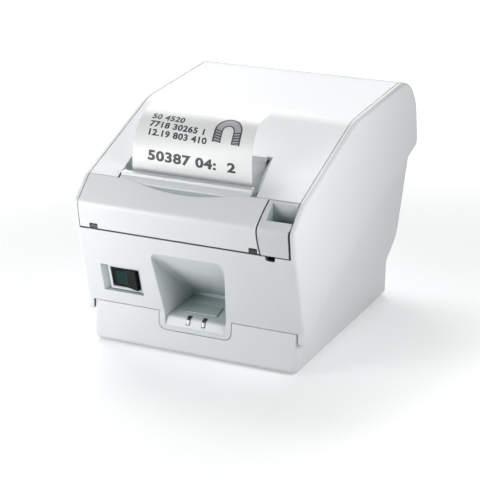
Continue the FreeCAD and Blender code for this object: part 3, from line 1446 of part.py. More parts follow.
# Feed key in the floor of the scoop, the small board under it and two light pipes over the lip
floor_slope = (scoop_back_low + 1.0 - lip_crest_height - 0.2) / (scoop_depth + 0.5 - lip_crest_setback - 1.0)
key_top_front = lip_crest_height + 0.2 + (feed_key_front - lip_crest_setback - 1.0) * floor_slope + key_proud
key_top_back = lip_crest_height + 0.2 + (feed_key_back - lip_crest_setback - 1.0) * floor_slope + key_proud
feed_key = slab([
    (feed_key_front, key_foot, 0), (feed_key_front, key_top_front, 0.6), (feed_key_back, key_top_back, 0.6),
    (feed_key_back, key_foot, 0)], feed_key_x - feed_key_half, feed_key_x + feed_key_half)
feed_key = feed_key.cut(block(feed_key_x - feed_key_half + 1.4, feed_key_x + feed_key_half - 1.4,
                              feed_key_front + 1.4, feed_key_back - 1.4, key_foot + key_foot_thickness,
                              key_top_front - 1.6))
feed_key = feed_key.fuse(block(
    feed_key_x - feed_key_half - key_flange, feed_key_x + feed_key_half + key_flange,
    feed_key_front - key_flange, feed_key_back + key_flange, key_foot, key_foot + key_foot_thickness))
save("feed_key", feed_key.removeSplitter())
panel_board_top = panel_board_low + panel_board_thickness
panel_board = block(panel_board_left, panel_board_right, panel_board_front, panel_board_back, panel_board_low,
                    panel_board_top)
save("panel_board", panel_board)
switch_center_y = (feed_key_front + feed_key_back) / 2
feed_switch = block(feed_key_x - 3, feed_key_x + 3, switch_center_y - 3, switch_center_y + 3, panel_board_top,
                    panel_board_top + 2.5)
feed_switch = feed_switch.fuse(rod_z(feed_key_x, switch_center_y, panel_board_top + 2.5,
                                     panel_board_top + 3.5, 1.7))
save("feed_switch", feed_switch)
lights = []
pipes = []
for x in light_x:
    lamp = rod_z(x, lip_crest_setback - 0.8, panel_board_top, panel_board_top + 0.9, 1.0)
    dome = Part.makeCone(1.0, 0.4, 0.8, Vector(x, lip_crest_setback - 0.8, panel_board_top + 0.9))
    lights.append(lamp.fuse(dome))
    pipe = slab([
        (16.3, 20.9, 0), (17.75, 24.4, 2.4), (21.4, 26.0, 1.0), (21.4, 14.6, 0), (light_stem_front, 14.6, 0),
        (light_stem_front, 20.9, 0)], x - light_half + 0.1, x + light_half - 0.1)
    pipes.append(pipe)
save("status_lights", Part.makeCompound(lights))
save("light_pipes", Part.makeCompound(pipes))

# Main board with the sockets that reach the window at the back
board_top = board_bottom + board_thickness
main_board = block(board_left, board_right, board_front, board_back, board_bottom, board_top)
for x in (board_left + 6, board_right - 6):
    for y in (board_front + 6, board_back - 10):
        main_board = main_board.cut(rod_z(x, y, board_bottom - 1, board_top + 1, 1.6))
save("main_board", main_board)
plate_front = body_depth - plinth_inset - case_wall + 0.3
interface_panel = block(-window_half + plate_gap, window_half - plate_gap, plate_front,
                        plate_front + plate_thickness, window_low + plate_gap, window_high - plate_gap)
interface_panel = interface_panel.cut([
    rod_y(inlet_x, plate_front - 1, plate_front + 3, socket_height, 5.7),
    block(jack_x - 6.7, jack_x + 6.7, plate_front - 1, plate_front + 3, board_top - 0.1, 20.9),
    block(port_x - 6.1, port_x + 6.1, plate_front - 1, plate_front + 3, board_top - 0.1, 19.9)])
for x in (-panel_screw_x, panel_screw_x):
    interface_panel = interface_panel.cut(rod_y(x, plate_front - 1, plate_front + 3, socket_height, 1.6))
save("interface_panel", interface_panel)
screws = []
for x in (-panel_screw_x, panel_screw_x):
    head = rod_y(x, plate_front + plate_thickness, plate_front + plate_thickness + 1.5, socket_height, 2.7)
    head = head.cut(block(x - 2.0, x + 2.0, plate_front + plate_thickness + 0.9, plate_front + 5,
                          socket_height - 0.35, socket_height + 0.35))
    screws.append(head.fuse(rod_y(x, plate_front - 5, plate_front + plate_thickness, socket_height, 1.45)))
save("panel_screws", Part.makeCompound(screws))
power_inlet = block(inlet_x - 7, inlet_x + 7, plate_front - 13, plate_front - 0.1, board_top, 20.9)
power_inlet = power_inlet.fuse(rod_y(inlet_x, plate_front - 0.1, plate_front + 2.2, socket_height, 5.5))
power_inlet = power_inlet.cut(rod_y(inlet_x, plate_front - 7, plate_front + 4, socket_height, 4.3))
for angle in (90, 210, 330):
    pin_x = inlet_x + 2.2 * math.cos(math.radians(angle))
    pin_z = socket_height + 2.2 * math.sin(math.radians(angle))
    power_inlet = power_inlet.fuse(block(pin_x - 0.5, pin_x + 0.5, plate_front - 7.5, plate_front + 0.6,
                                         pin_z - 0.5, pin_z + 0.5))
save("power_inlet", power_inlet)
kick_jack = block(jack_x - 6.6, jack_x + 6.6, plate_front - 14, plate_front + 1.9, board_top, 20.8)
kick_jack = kick_jack.cut(block(jack_x - 4.9, jack_x + 4.9, plate_front - 8, plate_front + 3, 11.6, 18.4))
kick_jack = kick_jack.cut(block(jack_x - 1.6, jack_x + 1.6, plate_front - 8, plate_front + 3, 10.0, 12))
save("drawer_kick_jack", kick_jack)
usb_port = block(port_x - 6.0, port_x + 6.0, plate_front - 15, plate_front + 1.7, board_top, 19.8)
usb_port = usb_port.cut(plan([(port_x - 4.2, plate_front - 9), (port_x + 4.2, plate_front - 9),
                              (port_x + 4.2, plate_front + 3), (port_x - 4.2, plate_front + 3)], 10.4, 18.2))
usb_port = usb_port.fuse(block(port_x - 2.8, port_x + 2.8, plate_front - 9.5, plate_front + 0.2, 12.7, 15.7))
save("usb_port", usb_port)

# Rubber feet and the screws that hold the two case halves together
feet = []
case_screws = []
for x in (-1, 1):
    for y in (feet_front, feet_back):
        foot = Part.makeCone(feet_radius - 0.6, feet_radius, foot_height, Vector(x * feet_x, y, 0))
        feet.append(foot)
    for y in (screw_front, screw_back):
        head = rod_z(x * screw_x, y, 7.6, 10.0, screw_head_radius)
        head = head.cut(block(x * screw_x - 0.4, x * screw_x + 0.4, y - 2, y + 2, 7, 8.8))
        case_screws.append(head.fuse(rod_z(x * screw_x, y, 10.0, tower_top + 10, screw_radius - running_gap)))
save("rubber_feet", Part.makeCompound(feet))
save("case_screws", Part.makeCompound(case_screws))
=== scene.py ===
import math

import bmesh
import bpy
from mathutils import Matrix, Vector


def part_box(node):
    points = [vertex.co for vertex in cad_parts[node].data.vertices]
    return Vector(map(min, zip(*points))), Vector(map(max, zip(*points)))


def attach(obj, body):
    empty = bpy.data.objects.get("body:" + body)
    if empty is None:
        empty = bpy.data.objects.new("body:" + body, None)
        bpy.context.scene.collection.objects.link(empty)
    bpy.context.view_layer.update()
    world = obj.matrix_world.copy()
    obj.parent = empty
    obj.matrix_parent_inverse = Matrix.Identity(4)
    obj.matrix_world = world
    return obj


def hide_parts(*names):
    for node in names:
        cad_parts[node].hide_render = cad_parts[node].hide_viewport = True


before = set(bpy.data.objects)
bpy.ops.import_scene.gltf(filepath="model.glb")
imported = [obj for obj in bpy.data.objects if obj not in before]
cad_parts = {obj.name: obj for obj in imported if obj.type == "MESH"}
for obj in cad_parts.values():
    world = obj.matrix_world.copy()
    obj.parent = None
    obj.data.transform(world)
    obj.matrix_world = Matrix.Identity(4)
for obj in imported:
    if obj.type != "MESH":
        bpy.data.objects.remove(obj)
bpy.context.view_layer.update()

# Camera: a long lens from the front right, a little above the printer, as the photograph has it.
camera = bpy.data.objects.new("camera", bpy.data.cameras.new("camera"))
bpy.context.scene.collection.objects.link(camera)
camera.data.lens = 125.3
camera.data.sensor_width = 36.0
camera.location = (0.4399, -0.9543, 0.4201)
aim = Vector((-0.00751, -0.0065, 0.0502)) - camera.location
camera.rotation_euler = aim.to_track_quat("-Z", "Y").to_euler()
bpy.context.scene.camera = camera
bpy.context.scene.view_settings.view_transform = "Standard"


# Case halves: two thick mouldings of cool off-white plastic with a fine spark-eroded grain.
# The lower one is the plinth with the rear wall, the upper one the cheeks, front panel and scoop.
class Level:
    """One output of a shader node. Arithmetic on it adds Math nodes."""

    def __init__(self, tree, socket):
        self.tree = tree
        self.socket = socket

    def joined(self, operation, other):
        node = self.tree.nodes.new("ShaderNodeMath")
        node.operation = operation
        for place, value in zip(node.inputs, (self, other)):
            if isinstance(value, Level):
                self.tree.links.new(value.socket, place)
            else:
                place.default_value = value
        return Level(self.tree, node.outputs[0])

    def __add__(self, other):
        return self.joined("ADD", other)

    def __mul__(self, other):
        return self.joined("MULTIPLY", other)

    def __truediv__(self, other):
        return self.joined("DIVIDE", other)

    def __radd__(self, other):
        return self.joined("ADD", other)

    def __gt__(self, other):
        return self.joined("GREATER_THAN", other)


class Finish:
    """A material whose surface is one Principled shader, and the nodes that feed it."""

    def __init__(self, name, color, roughness, metallic=0.0, **constants):
        self.material = bpy.data.materials.new(name)
        self.material.use_nodes = True
        self.tree = self.material.node_tree
        self.shader = self.tree.nodes["Principled BSDF"]
        self.material.diffuse_color = (*color, 1.0)
        self.shader.inputs["Base Color"].default_value = (*color, 1.0)
        self.shader.inputs["Roughness"].default_value = roughness
        self.shader.inputs["Metallic"].default_value = metallic
        for socket, value in constants.items():
            self.shader.inputs[socket.replace("_", " ")].default_value = value
        self.place = self.node("ShaderNodeTexCoord", output="Object")

    def node(self, kind, settings=None, inputs=None, output=0):
        node = self.tree.nodes.new(kind)
        for key, value in (settings or {}).items():
            setattr(node, key, value)
        for key, value in (inputs or {}).items():
            if isinstance(value, Level):
                self.tree.links.new(value.socket, node.inputs[key])
            else:
                node.inputs[key].default_value = value
        return Level(self.tree, node.outputs[output])

    def noise(self, size, detail=2.0, stretch=(1.0, 1.0, 1.0)):
        moved = self.node("ShaderNodeMapping", None, {"Vector": self.place, "Scale": stretch})
        return self.node("ShaderNodeTexNoise", None, {"Vector": moved, "Scale": 1.0 / size, "Detail": detail})

    def tint(self, share, dark, light):
        mixed = self.node("ShaderNodeMix", {"data_type": "RGBA"},
                          {0: share, 6: (*dark, 1.0), 7: (*light, 1.0)}, output=2)
        self.feed("Base Color", mixed)
        return mixed

    def feed(self, socket, level):
        self.tree.links.new(level.socket, self.shader.inputs[socket])

    def relief(self, height, depth, edge=0.0):
        inputs = {"Height": height, "Distance": depth, "Strength": 1.0}
        if edge > 0:
            inputs["Normal"] = self.node("ShaderNodeBevel", {"samples": 4}, {"Radius": edge})
        self.feed("Normal", self.node("ShaderNodeBump", None, inputs))


def dress(finish, *names):
    for name in names:
        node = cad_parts[name]
        if not node.material_slots:
            node.data.materials.append(finish.material)
        for place in node.material_slots:
            place.material = finish.material


GRAIN, CLOUDS, CLOUD_DARK = 0.0003, 0.045, 0.965
# Share of the colour left under painted shade, deep in corners and hollows.
PAINTED_SHADE_TINT = (0.22, 0.32, 0.32)


def moulded(name, color, roughness, depth=0.000012, edge=0.0004, shade_reach=0.0):
    # Grained plastic. Given a reach, painted shade darkens the colour towards teal grey in corners and
    # hollows up to that width: ambient occlusion painted into the base colour.
    finish = Finish(name, color, roughness, IOR=1.49)
    cloud = finish.noise(CLOUDS, 3.0)
    tone = finish.tint(cloud, [c * CLOUD_DARK for c in color], color)
    if shade_reach > 0:
        # Painted shade: the ambient occlusion mixes the colour towards the shaded teal grey.
        unshaded_share = finish.node("ShaderNodeAmbientOcclusion", {"samples": 6}, {"Distance": shade_reach},
                                 output="AO")
        shaded_color = [c * share for c, share in zip(color, PAINTED_SHADE_TINT)]
        mixed = finish.node("ShaderNodeMix", {"data_type": "RGBA"},
                            {0: unshaded_share, 6: (*shaded_color, 1.0), 7: tone}, output=2)
        finish.feed("Base Color", mixed)
    sparks = finish.noise(GRAIN, 2.0)
    finish.feed("Roughness", roughness - 0.05 + cloud * 0.06 + sparks * 0.06)
    finish.relief(sparks, depth, edge)
    return finish


CASE_WHITE = (0.80, 0.815, 0.825)
dress(moulded("case_white_lower", [c * 0.985 for c in CASE_WHITE], 0.42), "lower_case")
# The upper half carries painted shade in its scoop, pockets and seams.
dress(moulded("case_white", CASE_WHITE, 0.40, shade_reach=0.03), "upper_case")

# Lid, tilting front cover and tear bar: the same plastic, moulded one polish finer. The lever
# is a shade darker, as the photograph has it.
# Painted shade darkens the lid, front cover and tear bar a little in their seams and recesses.
lid_white = moulded("lid_white", [c * 1.01 for c in CASE_WHITE], 0.36, depth=0.000009, shade_reach=0.012)
dress(lid_white, "rear_cover", "front_cover", "tear_bar")
# Painted shade darkens the lever in its pocket and along its seams.
dress(moulded("lever_white", [c * 0.88 for c in CASE_WHITE], 0.38, depth=0.000009, shade_reach=0.03), "cover_lever")

# Rubber feet: four ground rubber discs glued under the plinth, with a matt tread that has
# picked up dust.
rubber = Finish("foot_rubber", (0.035, 0.035, 0.036), 0.85)
dust = rubber.noise(0.004, 4.0)
rubber.tint(dust, (0.025, 0.025, 0.026), (0.06, 0.058, 0.055))
rubber.relief(rubber.noise(0.0006), 0.00008)
dress(rubber, "rubber_feet")

# Case screws: long black-oxide screws that hold the halves together, each up its own tower.
# The cutter's motor has the same dark finish.
blackened = Finish("black_oxide", (0.09, 0.09, 0.095), 0.42, 0.9)
blackened.tint(blackened.noise(0.002, 3.0), (0.06, 0.06, 0.065), (0.13, 0.13, 0.135))
dress(blackened, "case_screws", "cutter_motor")


# Boards: green lacquered plates with copper under the lacquer. The main one carries the
# sockets at the back, the small one stands under the feed key with its switch and lamps.
def board(name):
    finish = Finish(name, (0.02, 0.16, 0.07), 0.28, Coat_Weight=0.4)
    black, white = (0, 0, 0, 1), (1, 1, 1, 1)
    tracks = finish.node("ShaderNodeTexBrick", {"offset": 0.37, "squash": 1.7},
                         {"Vector": finish.place, "Scale": 260.0, "Mortar Size": 0.012,
                          "Color1": black, "Color2": black, "Mortar": white})
    finish.tint(tracks, (0.015, 0.12, 0.05), (0.06, 0.3, 0.13))
    finish.relief(tracks, 0.00003)
    return finish


dress(board("main_board_green"), "main_board", "panel_board")
switch_plastic = moulded("switch_black", (0.018, 0.02, 0.02), 0.3, depth=0.000006)
dress(switch_plastic, "feed_switch", "cover_pivots")
lamp_lens = Finish("lamp_lens", (0.86, 0.9, 0.84), 0.12, Transmission_Weight=0.6, IOR=1.5)
lamp_lens.tint(lamp_lens.noise(0.0008), (0.75, 0.82, 0.74), (0.92, 0.95, 0.9))
dress(lamp_lens, "status_lights")


# Interface plate and sockets: a bright zinc-plated sheet screwed to the board, round the
# drum of the power inlet, the cash drawer jack and the square data port.
def plated(name, color, roughness, streak=0.0006):
    finish = Finish(name, color, roughness, 1.0)
    drawn = finish.noise(streak, 2.0, (0.08, 1.0, 1.0))
    blush = finish.noise(0.012, 3.0)
    finish.tint(blush, [c * 0.86 for c in color], color)
    finish.feed("Roughness", roughness - 0.08 + drawn * 0.16)
    finish.relief(drawn, 0.000006, 0.0002)
    return finish


zinc = plated("zinc_plate", (0.68, 0.69, 0.71), 0.34)
dress(zinc, "interface_panel", "panel_screws", "usb_port")
dress(moulded("socket_black", (0.022, 0.023, 0.024), 0.38), "power_inlet", "drawer_kick_jack")

# Print frame: two pressed steel side plates with the cross member between them, the latch
# shaft with its two hooks, and the turned shafts and pins of the rollers and hinge.
pressed_steel = plated("pressed_steel", (0.6, 0.61, 0.63), 0.38)
dress(pressed_steel, "frame_side_left", "frame_side_right", "head_bracket", "latch_hooks", "cutter_frame")
ground_steel = plated("ground_steel", (0.72, 0.73, 0.75), 0.2, streak=0.0003)
dress(ground_steel, "hinge_rod", "platen_shaft", "idler_pin", "latch_shaft", "fixed_blade", "moving_blade")
spring_wire = plated("spring_wire", (0.66, 0.65, 0.62), 0.22, streak=0.0002)
dress(spring_wire, "head_springs", "latch_spring")

# Feed drive: a black can motor, a sintered bronze pinion and bushings, and acetal gears.
motor_can = Finish("motor_can", (0.045, 0.046, 0.05), 0.45, 0.6)
motor_can.tint(motor_can.noise(0.003, 3.0), (0.03, 0.03, 0.034), (0.075, 0.075, 0.08))
dress(motor_can, "feed_motor")
bronze = Finish("sintered_bronze", (0.42, 0.27, 0.13), 0.48, 1.0)
bronze.tint(bronze.noise(0.0004, 4.0), (0.28, 0.17, 0.08), (0.5, 0.33, 0.17))
bronze.relief(bronze.noise(0.00025), 0.00001)
dress(bronze, "motor_pinion", "platen_bushings")
acetal = moulded("gear_acetal", (0.76, 0.75, 0.70), 0.35, depth=0.000006, edge=0.0001)
dress(acetal, "platen_gear", "idler_gear", "blade_carrier", "cutter_pinion")

# Platen: a black nitrile roller ground true on its steel shaft, with the fine rings that the
# wheel leaves.
platen = Finish("platen_rubber", (0.03, 0.03, 0.032), 0.6)
rings = platen.noise(0.0005, 2.0, (1.0, 0.02, 0.02))
platen.tint(rings, (0.022, 0.022, 0.024), (0.05, 0.05, 0.052))
platen.relief(rings, 0.00002)
dress(platen, "platen_roller")

# Print head: a pale ceramic strip clamped on an aluminium extrusion, which takes its heat
# away.
extrusion = plated("head_aluminium", (0.74, 0.75, 0.77), 0.4, streak=0.0004)
dress(extrusion, "head_sink")
ceramic = Finish("head_ceramic", (0.78, 0.74, 0.64), 0.16)
ceramic.tint(ceramic.noise(0.006, 2.0), (0.72, 0.67, 0.56), (0.82, 0.79, 0.7))
dress(ceramic, "thermal_head")

# Roll bucket: the grey trough that the roll drops into, with faint scuffs from paper rolls.
bucket = moulded("bucket_grey", (0.24, 0.25, 0.26), 0.5)
scuff = bucket.noise(0.006, 5.0, (0.15, 1.0, 1.0)) > 0.62
bucket.tint(scuff, (0.23, 0.24, 0.25), (0.32, 0.33, 0.34))
dress(bucket, "roll_bucket")

# Paper: coated thermal paper wound on a card core. Its ends show the edges of the turns, and
# the loose web between roll and print head is of the same paper.
PAPER_WHITE = (0.92, 0.925, 0.93)
roll_center = sum(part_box("paper_roll"), Vector()) / 2


def wound(name, color, turn, dark):
    finish = Finish(name, color, 0.6)
    apart = finish.node("ShaderNodeVectorMath", {"operation": "SUBTRACT"},
                        {0: finish.place, 1: (0.0, roll_center.y, roll_center.z)})
    flat = finish.node("ShaderNodeVectorMath", {"operation": "MULTIPLY"}, {0: apart, 1: (0.0, 1.0, 1.0)})
    radius = finish.node("ShaderNodeVectorMath", {"operation": "LENGTH"}, {0: flat}, output="Value")
    turns = (radius / turn).joined("FRACT", 0.0)
    drift = finish.noise(0.0015, 3.0)
    share = turns * 0.55 + drift * 0.45
    finish.tint(share, [c * dark for c in color], color)
    finish.relief(share, 0.00003)
    return finish


dress(wound("roll_paper", PAPER_WHITE, 0.0009, 0.86), "paper_roll")
dress(wound("core_card", (0.42, 0.31, 0.2), 0.0006, 0.7), "roll_core")
sheet_paper = Finish("ticket_paper", PAPER_WHITE, 0.38)
fibre = sheet_paper.noise(0.0011, 4.0)
sheet_paper.tint(fibre, [c * 0.975 for c in PAPER_WHITE], PAPER_WHITE)
sheet_paper.relief(fibre, 0.000008)
dress(sheet_paper, "paper_web")

# Power switch: a white body snapped into the sloping pocket, with a black two-faced rocker. Its left face,
# turned to the lamps, is painted dull teal: a painted sheen.
dress(moulded("switch_white", (0.74, 0.76, 0.77), 0.34, depth=0.000006, edge=0.0003), "switch_body")
rocker_black = moulded("rocker_black", (0.006, 0.009, 0.009), 0.32, depth=0.000004, edge=0.0004)
rocker_black.shader.inputs["Specular IOR Level"].default_value = 0.12
# Painted sheen on the rocker's left face: the area where the colour turns dull teal.
ROCKER_LIT_FACE = {0: (-0.0532, -0.0451), 2: (0.0412, 0.0509)}
LIT_FACE_BLUR = 0.0003
lit_face_axes = [(rocker_black.node("ShaderNodeSeparateXYZ", None, {"Vector": rocker_black.place}, output=axis),
             borders) for axis, borders in ROCKER_LIT_FACE.items()]
inside = 1.0
for level, borders in lit_face_axes:
    for border, way in zip(borders, (1, -1)):
        inside = rocker_black.node("ShaderNodeMapRange", {"interpolation_type": "SMOOTHSTEP"},
                                   {"Value": level, "From Min": border - way * LIT_FACE_BLUR,
                                    "From Max": border + way * LIT_FACE_BLUR}) * inside
rocker_black.tint(inside, (0.003, 0.005, 0.005), (0.009, 0.036, 0.034))
dress(rocker_black, "power_rocker")

# Feed key and light pipes: a satin slab key in the scoop's floor, and two light pipes that carry the lamps'
# light over the lip. The pipes are painted near black for the shade inside them.
# Painted shade darkens the key where the scoop closes over it.
dress(moulded("feed_key", (0.62, 0.66, 0.66), 0.34, edge=0.0005, shade_reach=0.03), "feed_key")
# Painted shade: the pipes' near black stands for the dark inside them.
pipe_shade = Finish("pipe_painted_shade", (0.012, 0.013, 0.014), 0.1, Coat_Weight=0.5)
pipe_shade.tint(pipe_shade.noise(0.001), (0.008, 0.009, 0.01), (0.02, 0.021, 0.022))
dress(pipe_shade, "light_pipes")

# Lamp lenses: a small clear window clipped over the foot of each light pipe, on the face of
# the lip.
LENS_X = (-0.0042, 0.0064)
LENS_HALF, LENS_TALL, LENS_THICK, LENS_ROUND, LENS_EDGE = 0.00105, 0.0027, 0.0005, 0.0005, 0.00018
LENS_FOOT = Vector((0.0, -0.0902, 0.0211))
LENS_UP = Vector((0.0, 0.00145, 0.0035)).normalized()
LENS_OUT = Vector((0.0, -LENS_UP.z, LENS_UP.y))
clear = Finish("clear_lens", (0.75, 0.79, 0.79), 0.08, Coat_Weight=0.8)
clear.tint(clear.noise(0.0009, 2.0), (0.45, 0.5, 0.5), (0.78, 0.81, 0.81))
clear.relief(clear.noise(0.0005), 0.00002)


def plate(name, outline, base, thick, rounding):
    # Flat outline given as points, thickened along its normal from base, with rolled edges
    mesh = bpy.data.meshes.new(name)
    shape = bmesh.new()
    front = shape.faces.new([shape.verts.new(base(u, v, thick)) for u, v in outline])
    grown = bmesh.ops.extrude_face_region(shape, geom=[front])
    middle = sum((base(u, v, 0) for u, v in outline), Vector()) / len(outline)
    top = sum((base(u, v, thick) for u, v in outline), Vector()) / len(outline)
    lower = [v for v in grown["geom"] if isinstance(v, bmesh.types.BMVert)]
    bmesh.ops.translate(shape, vec=middle - top, verts=lower)
    bmesh.ops.recalc_face_normals(shape, faces=shape.faces)
    shape.to_mesh(mesh)
    shape.free()
    piece = bpy.data.objects.new(name, mesh)
    bpy.context.scene.collection.objects.link(piece)
    bpy.ops.object.select_all(action="DESELECT")
    piece.select_set(True)
    bpy.context.view_layer.objects.active = piece
    roll = piece.modifiers.new("roll", "BEVEL")
    roll.width = rounding
    roll.segments = 3
    roll.limit_method = "ANGLE"
    bpy.ops.object.modifier_apply(modifier="roll")
    bpy.ops.object.shade_smooth_by_angle(angle=math.radians(35))
    return piece


def done(obj, finish, body):
    obj.data.materials.clear()
    obj.data.materials.append(finish.material)
    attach(obj, body)


for count, lens_x in enumerate(LENS_X, 1):
    corners = []
    for cu, cv, start in ((1, 1, 0), (-1, 1, 90), (-1, 0, 180), (1, 0, 270)):
        for step in range(5):
            turn = math.radians(start + step * 22.5)
            corners.append((cu * (LENS_HALF - LENS_ROUND) + LENS_ROUND * math.cos(turn),
                            (LENS_TALL - LENS_ROUND if cv else LENS_ROUND) + LENS_ROUND * math.sin(turn)))
    place = Vector((lens_x, 0.0, 0.0)) + LENS_FOOT
    lens = plate(f"lamp_lens_{count}", corners,
                 lambda u, v, out: place + Vector((u, 0, 0)) + LENS_UP * v + LENS_OUT * out,
                 LENS_THICK, LENS_EDGE)
    done(lens, clear, "chassis")

# Ticket: one strip of coated paper that stands in the exit and curls back over the lid.
# A narrow bridge is left at the cut, as a partial cutter leaves it.
TICKET_RIGHT = [
    (27.7, 103.1), (27.4, 106.5), (26.5, 111.5), (25.6, 117.6), (25.4, 125.2), (25.5, 133.0), (27.4, 140.3),
    (31.8, 147.2), (39.1, 151.7), (52.2, 153.6)]
TICKET_LEFT = [
    (27.7, 103.1), (27.5, 106.5), (26.8, 111.5), (26.3, 117.2), (27.4, 129.0), (33.5, 140.3), (42.2, 147.2),
    (52.4, 150.6), (64.0, 151.9)]
NOSE = -0.1065
ticket_low, ticket_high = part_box("printed_ticket")
PAPER_THICKNESS = 0.00015


def smooth_line(points, count):
    # Cubic through the points, read at equal lengths
    spots = [Vector((NOSE + y / 1000, z / 1000)) for y, z in points]
    spots = [spots[0] * 2 - spots[1]] + spots + [spots[-1] * 2 - spots[-2]]
    fine = []
    for a, b, c, d in zip(spots, spots[1:], spots[2:], spots[3:]):
        for i in range(24):
            t = i / 24
            fine.append(0.5 * (2 * b + (c - a) * t + (2 * a - 5 * b + 4 * c - d) * t ** 2
                               + (3 * b - 3 * c + d - a) * t ** 3))
    fine.append(spots[-2])
    reach = [0.0]
    for a, b in zip(fine, fine[1:]):
        reach.append(reach[-1] + (b - a).length)
    line = []
    k = 0
    for i in range(count + 1):
        want = reach[-1] * i / count
        while k < len(reach) - 2 and reach[k + 1] < want:
            k += 1
        share = (want - reach[k]) / (reach[k + 1] - reach[k])
        line.append(fine[k].lerp(fine[k + 1], min(share, 1.0)))
    return line, reach[-1]


CURL_ROWS = 60
left_line, left_length = smooth_line(TICKET_LEFT, CURL_ROWS)
right_line, right_length = smooth_line(TICKET_RIGHT, CURL_ROWS)


def on_ticket(x, share, lift):
    # Point of the curled sheet across at x and up by a share of its length, lifted off its face
    across = (x - ticket_low.x) / (ticket_high.x - ticket_low.x)
    row = min(max(share * CURL_ROWS, 0.0), CURL_ROWS - 0.0001)
    k = int(row)
    here = left_line[k].lerp(right_line[k], across)
    after = left_line[k + 1].lerp(right_line[k + 1], across)
    spot = here.lerp(after, row - k)
    along = (after - here).normalized()
    return Vector((x, spot.x - along.y * lift, spot.y + along.x * lift))


CUT_LOW, CUT_HIGH, WEB_LOW = 0.1016, 0.1031, 0.0884
SHEET_BACK = NOSE + TICKET_LEFT[0][0] / 1000
BRIDGE = (-0.00755, -0.00355)
COLUMNS, LOW_ROWS = 12, 2
columns = [ticket_low.x + (ticket_high.x - ticket_low.x) * i / COLUMNS for i in range(COLUMNS + 1)]
columns[6] = BRIDGE[0]
columns[7] = BRIDGE[1]
bpy.ops.object.select_all(action="DESELECT")
bpy.ops.mesh.primitive_grid_add(x_subdivisions=COLUMNS, y_subdivisions=CURL_ROWS + LOW_ROWS, size=1.0)
ticket = bpy.context.object
ticket.name = "ticket_sheet"
for vertex in ticket.data.vertices:
    x = columns[round((vertex.co.x + 0.5) * COLUMNS)]
    row = round((vertex.co.y + 0.5) * (CURL_ROWS + LOW_ROWS))
    if row >= LOW_ROWS:
        vertex.co = on_ticket(x, (row - LOW_ROWS) / CURL_ROWS, PAPER_THICKNESS / 2)
    else:
        vertex.co = (x, SHEET_BACK - PAPER_THICKNESS / 2, (WEB_LOW, CUT_LOW)[row])
bpy.ops.object.mode_set(mode="EDIT")
shape = bmesh.from_edit_mesh(ticket.data)
cut = []
for face in shape.faces:
    middle = face.calc_center_median()
    if CUT_LOW < middle.z < CUT_HIGH and not BRIDGE[0] < middle.x < BRIDGE[1]:
        cut.append(face)
bmesh.ops.delete(shape, geom=cut, context="FACES")
bmesh.update_edit_mesh(ticket.data)
bpy.ops.mesh.select_all(action="SELECT")
bpy.ops.mesh.normals_make_consistent(inside=False)
bpy.ops.object.mode_set(mode="OBJECT")
wall = ticket.modifiers.new("wall", "SOLIDIFY")
wall.thickness = PAPER_THICKNESS
wall.offset = 0.0
bpy.ops.object.modifier_apply(modifier="wall")
bpy.ops.object.shade_smooth_by_angle(angle=math.radians(40))
done(ticket, sheet_paper, "rear_cover")
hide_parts("printed_ticket")

# Print on the ticket: heat-blackened coating, in three short lines, one large line and a round
# mark. Only figures stand on it. Each line is laid flat, cut in strips and wrapped on the curl.
ink = Finish("thermal_print", (0.015, 0.015, 0.02), 0.5)
ink.tint(ink.noise(0.0004, 2.0), (0.01, 0.01, 0.014), (0.035, 0.035, 0.045))
INK_LIFT = PAPER_THICKNESS + 0.00003
STRIP = 0.0008
ticket_length = (left_length + right_length) / 2


def wrapped(obj, x, drop, lift):
    # Cuts the flat shape in narrow strips, then lays it on the sheet with its origin at x and drop
    bpy.ops.object.mode_set(mode="EDIT")
    level = min(v.co.y for v in obj.data.vertices)
    high = max(v.co.y for v in obj.data.vertices)
    while level < high:
        bpy.ops.mesh.select_all(action="SELECT")
        bpy.ops.mesh.bisect(plane_co=(0, level, 0), plane_no=(0, 1, 0))
        level += STRIP
    bpy.ops.object.mode_set(mode="OBJECT")
    for vertex in obj.data.vertices:
        share = 1.0 - (drop - vertex.co.y) / ticket_length
        vertex.co = on_ticket(x + vertex.co.x, share, lift)


def figures(name, body, x, drop, height, stretch, weight):
    bpy.ops.object.select_all(action="DESELECT")
    bpy.ops.object.text_add()
    line = bpy.context.object
    line.name = name
    line.data.body = body
    line.data.size = height / 0.7
    line.data.offset = weight
    line.data.space_character = 1.08
    line.data.resolution_u = 4
    bpy.ops.object.convert(target="MESH")
    line = bpy.context.object
    for vertex in line.data.vertices:
        vertex.co.x *= stretch
    wrapped(line, x, drop, INK_LIFT)
    done(line, ink, "rear_cover")


SMALL, SMALL_WIDE, SMALL_BOLD = 0.0038, 1.25, 0.00020
LARGE, LARGE_WIDE, LARGE_BOLD = 0.0058, 1.33, 0.00034
figures("ticket_line_one", "50 4520", -0.0392, 0.0247, SMALL, SMALL_WIDE, SMALL_BOLD)
figures("ticket_line_two", "7718 30265 1", -0.0388, 0.0303, SMALL, SMALL_WIDE, SMALL_BOLD)
figures("ticket_line_three", "12.19 803 410", -0.0388, 0.0359, SMALL, SMALL_WIDE, SMALL_BOLD)
figures("ticket_number", "50387 04:  2", -0.0360, 0.0509, LARGE, LARGE_WIDE, LARGE_BOLD)

# Round mark on the ticket: a grey arch with dark outlines over two hatched feet. It is a
# generic figure.
MARK_X, MARK_DROP, MARK_RADIUS, MARK_INNER = 0.0168, 0.0258, 0.0096, 0.0037
MARK_LINE, MARK_FOOT = 0.0008, -0.0078
HATCH_STEP, HATCH_RISE = 0.0017, 0.0012
grey_ink = Finish("thermal_grey", (0.42, 0.43, 0.44), 0.5)
grey_ink.tint(grey_ink.noise(0.0005, 2.0), (0.36, 0.37, 0.38), (0.5, 0.51, 0.52))


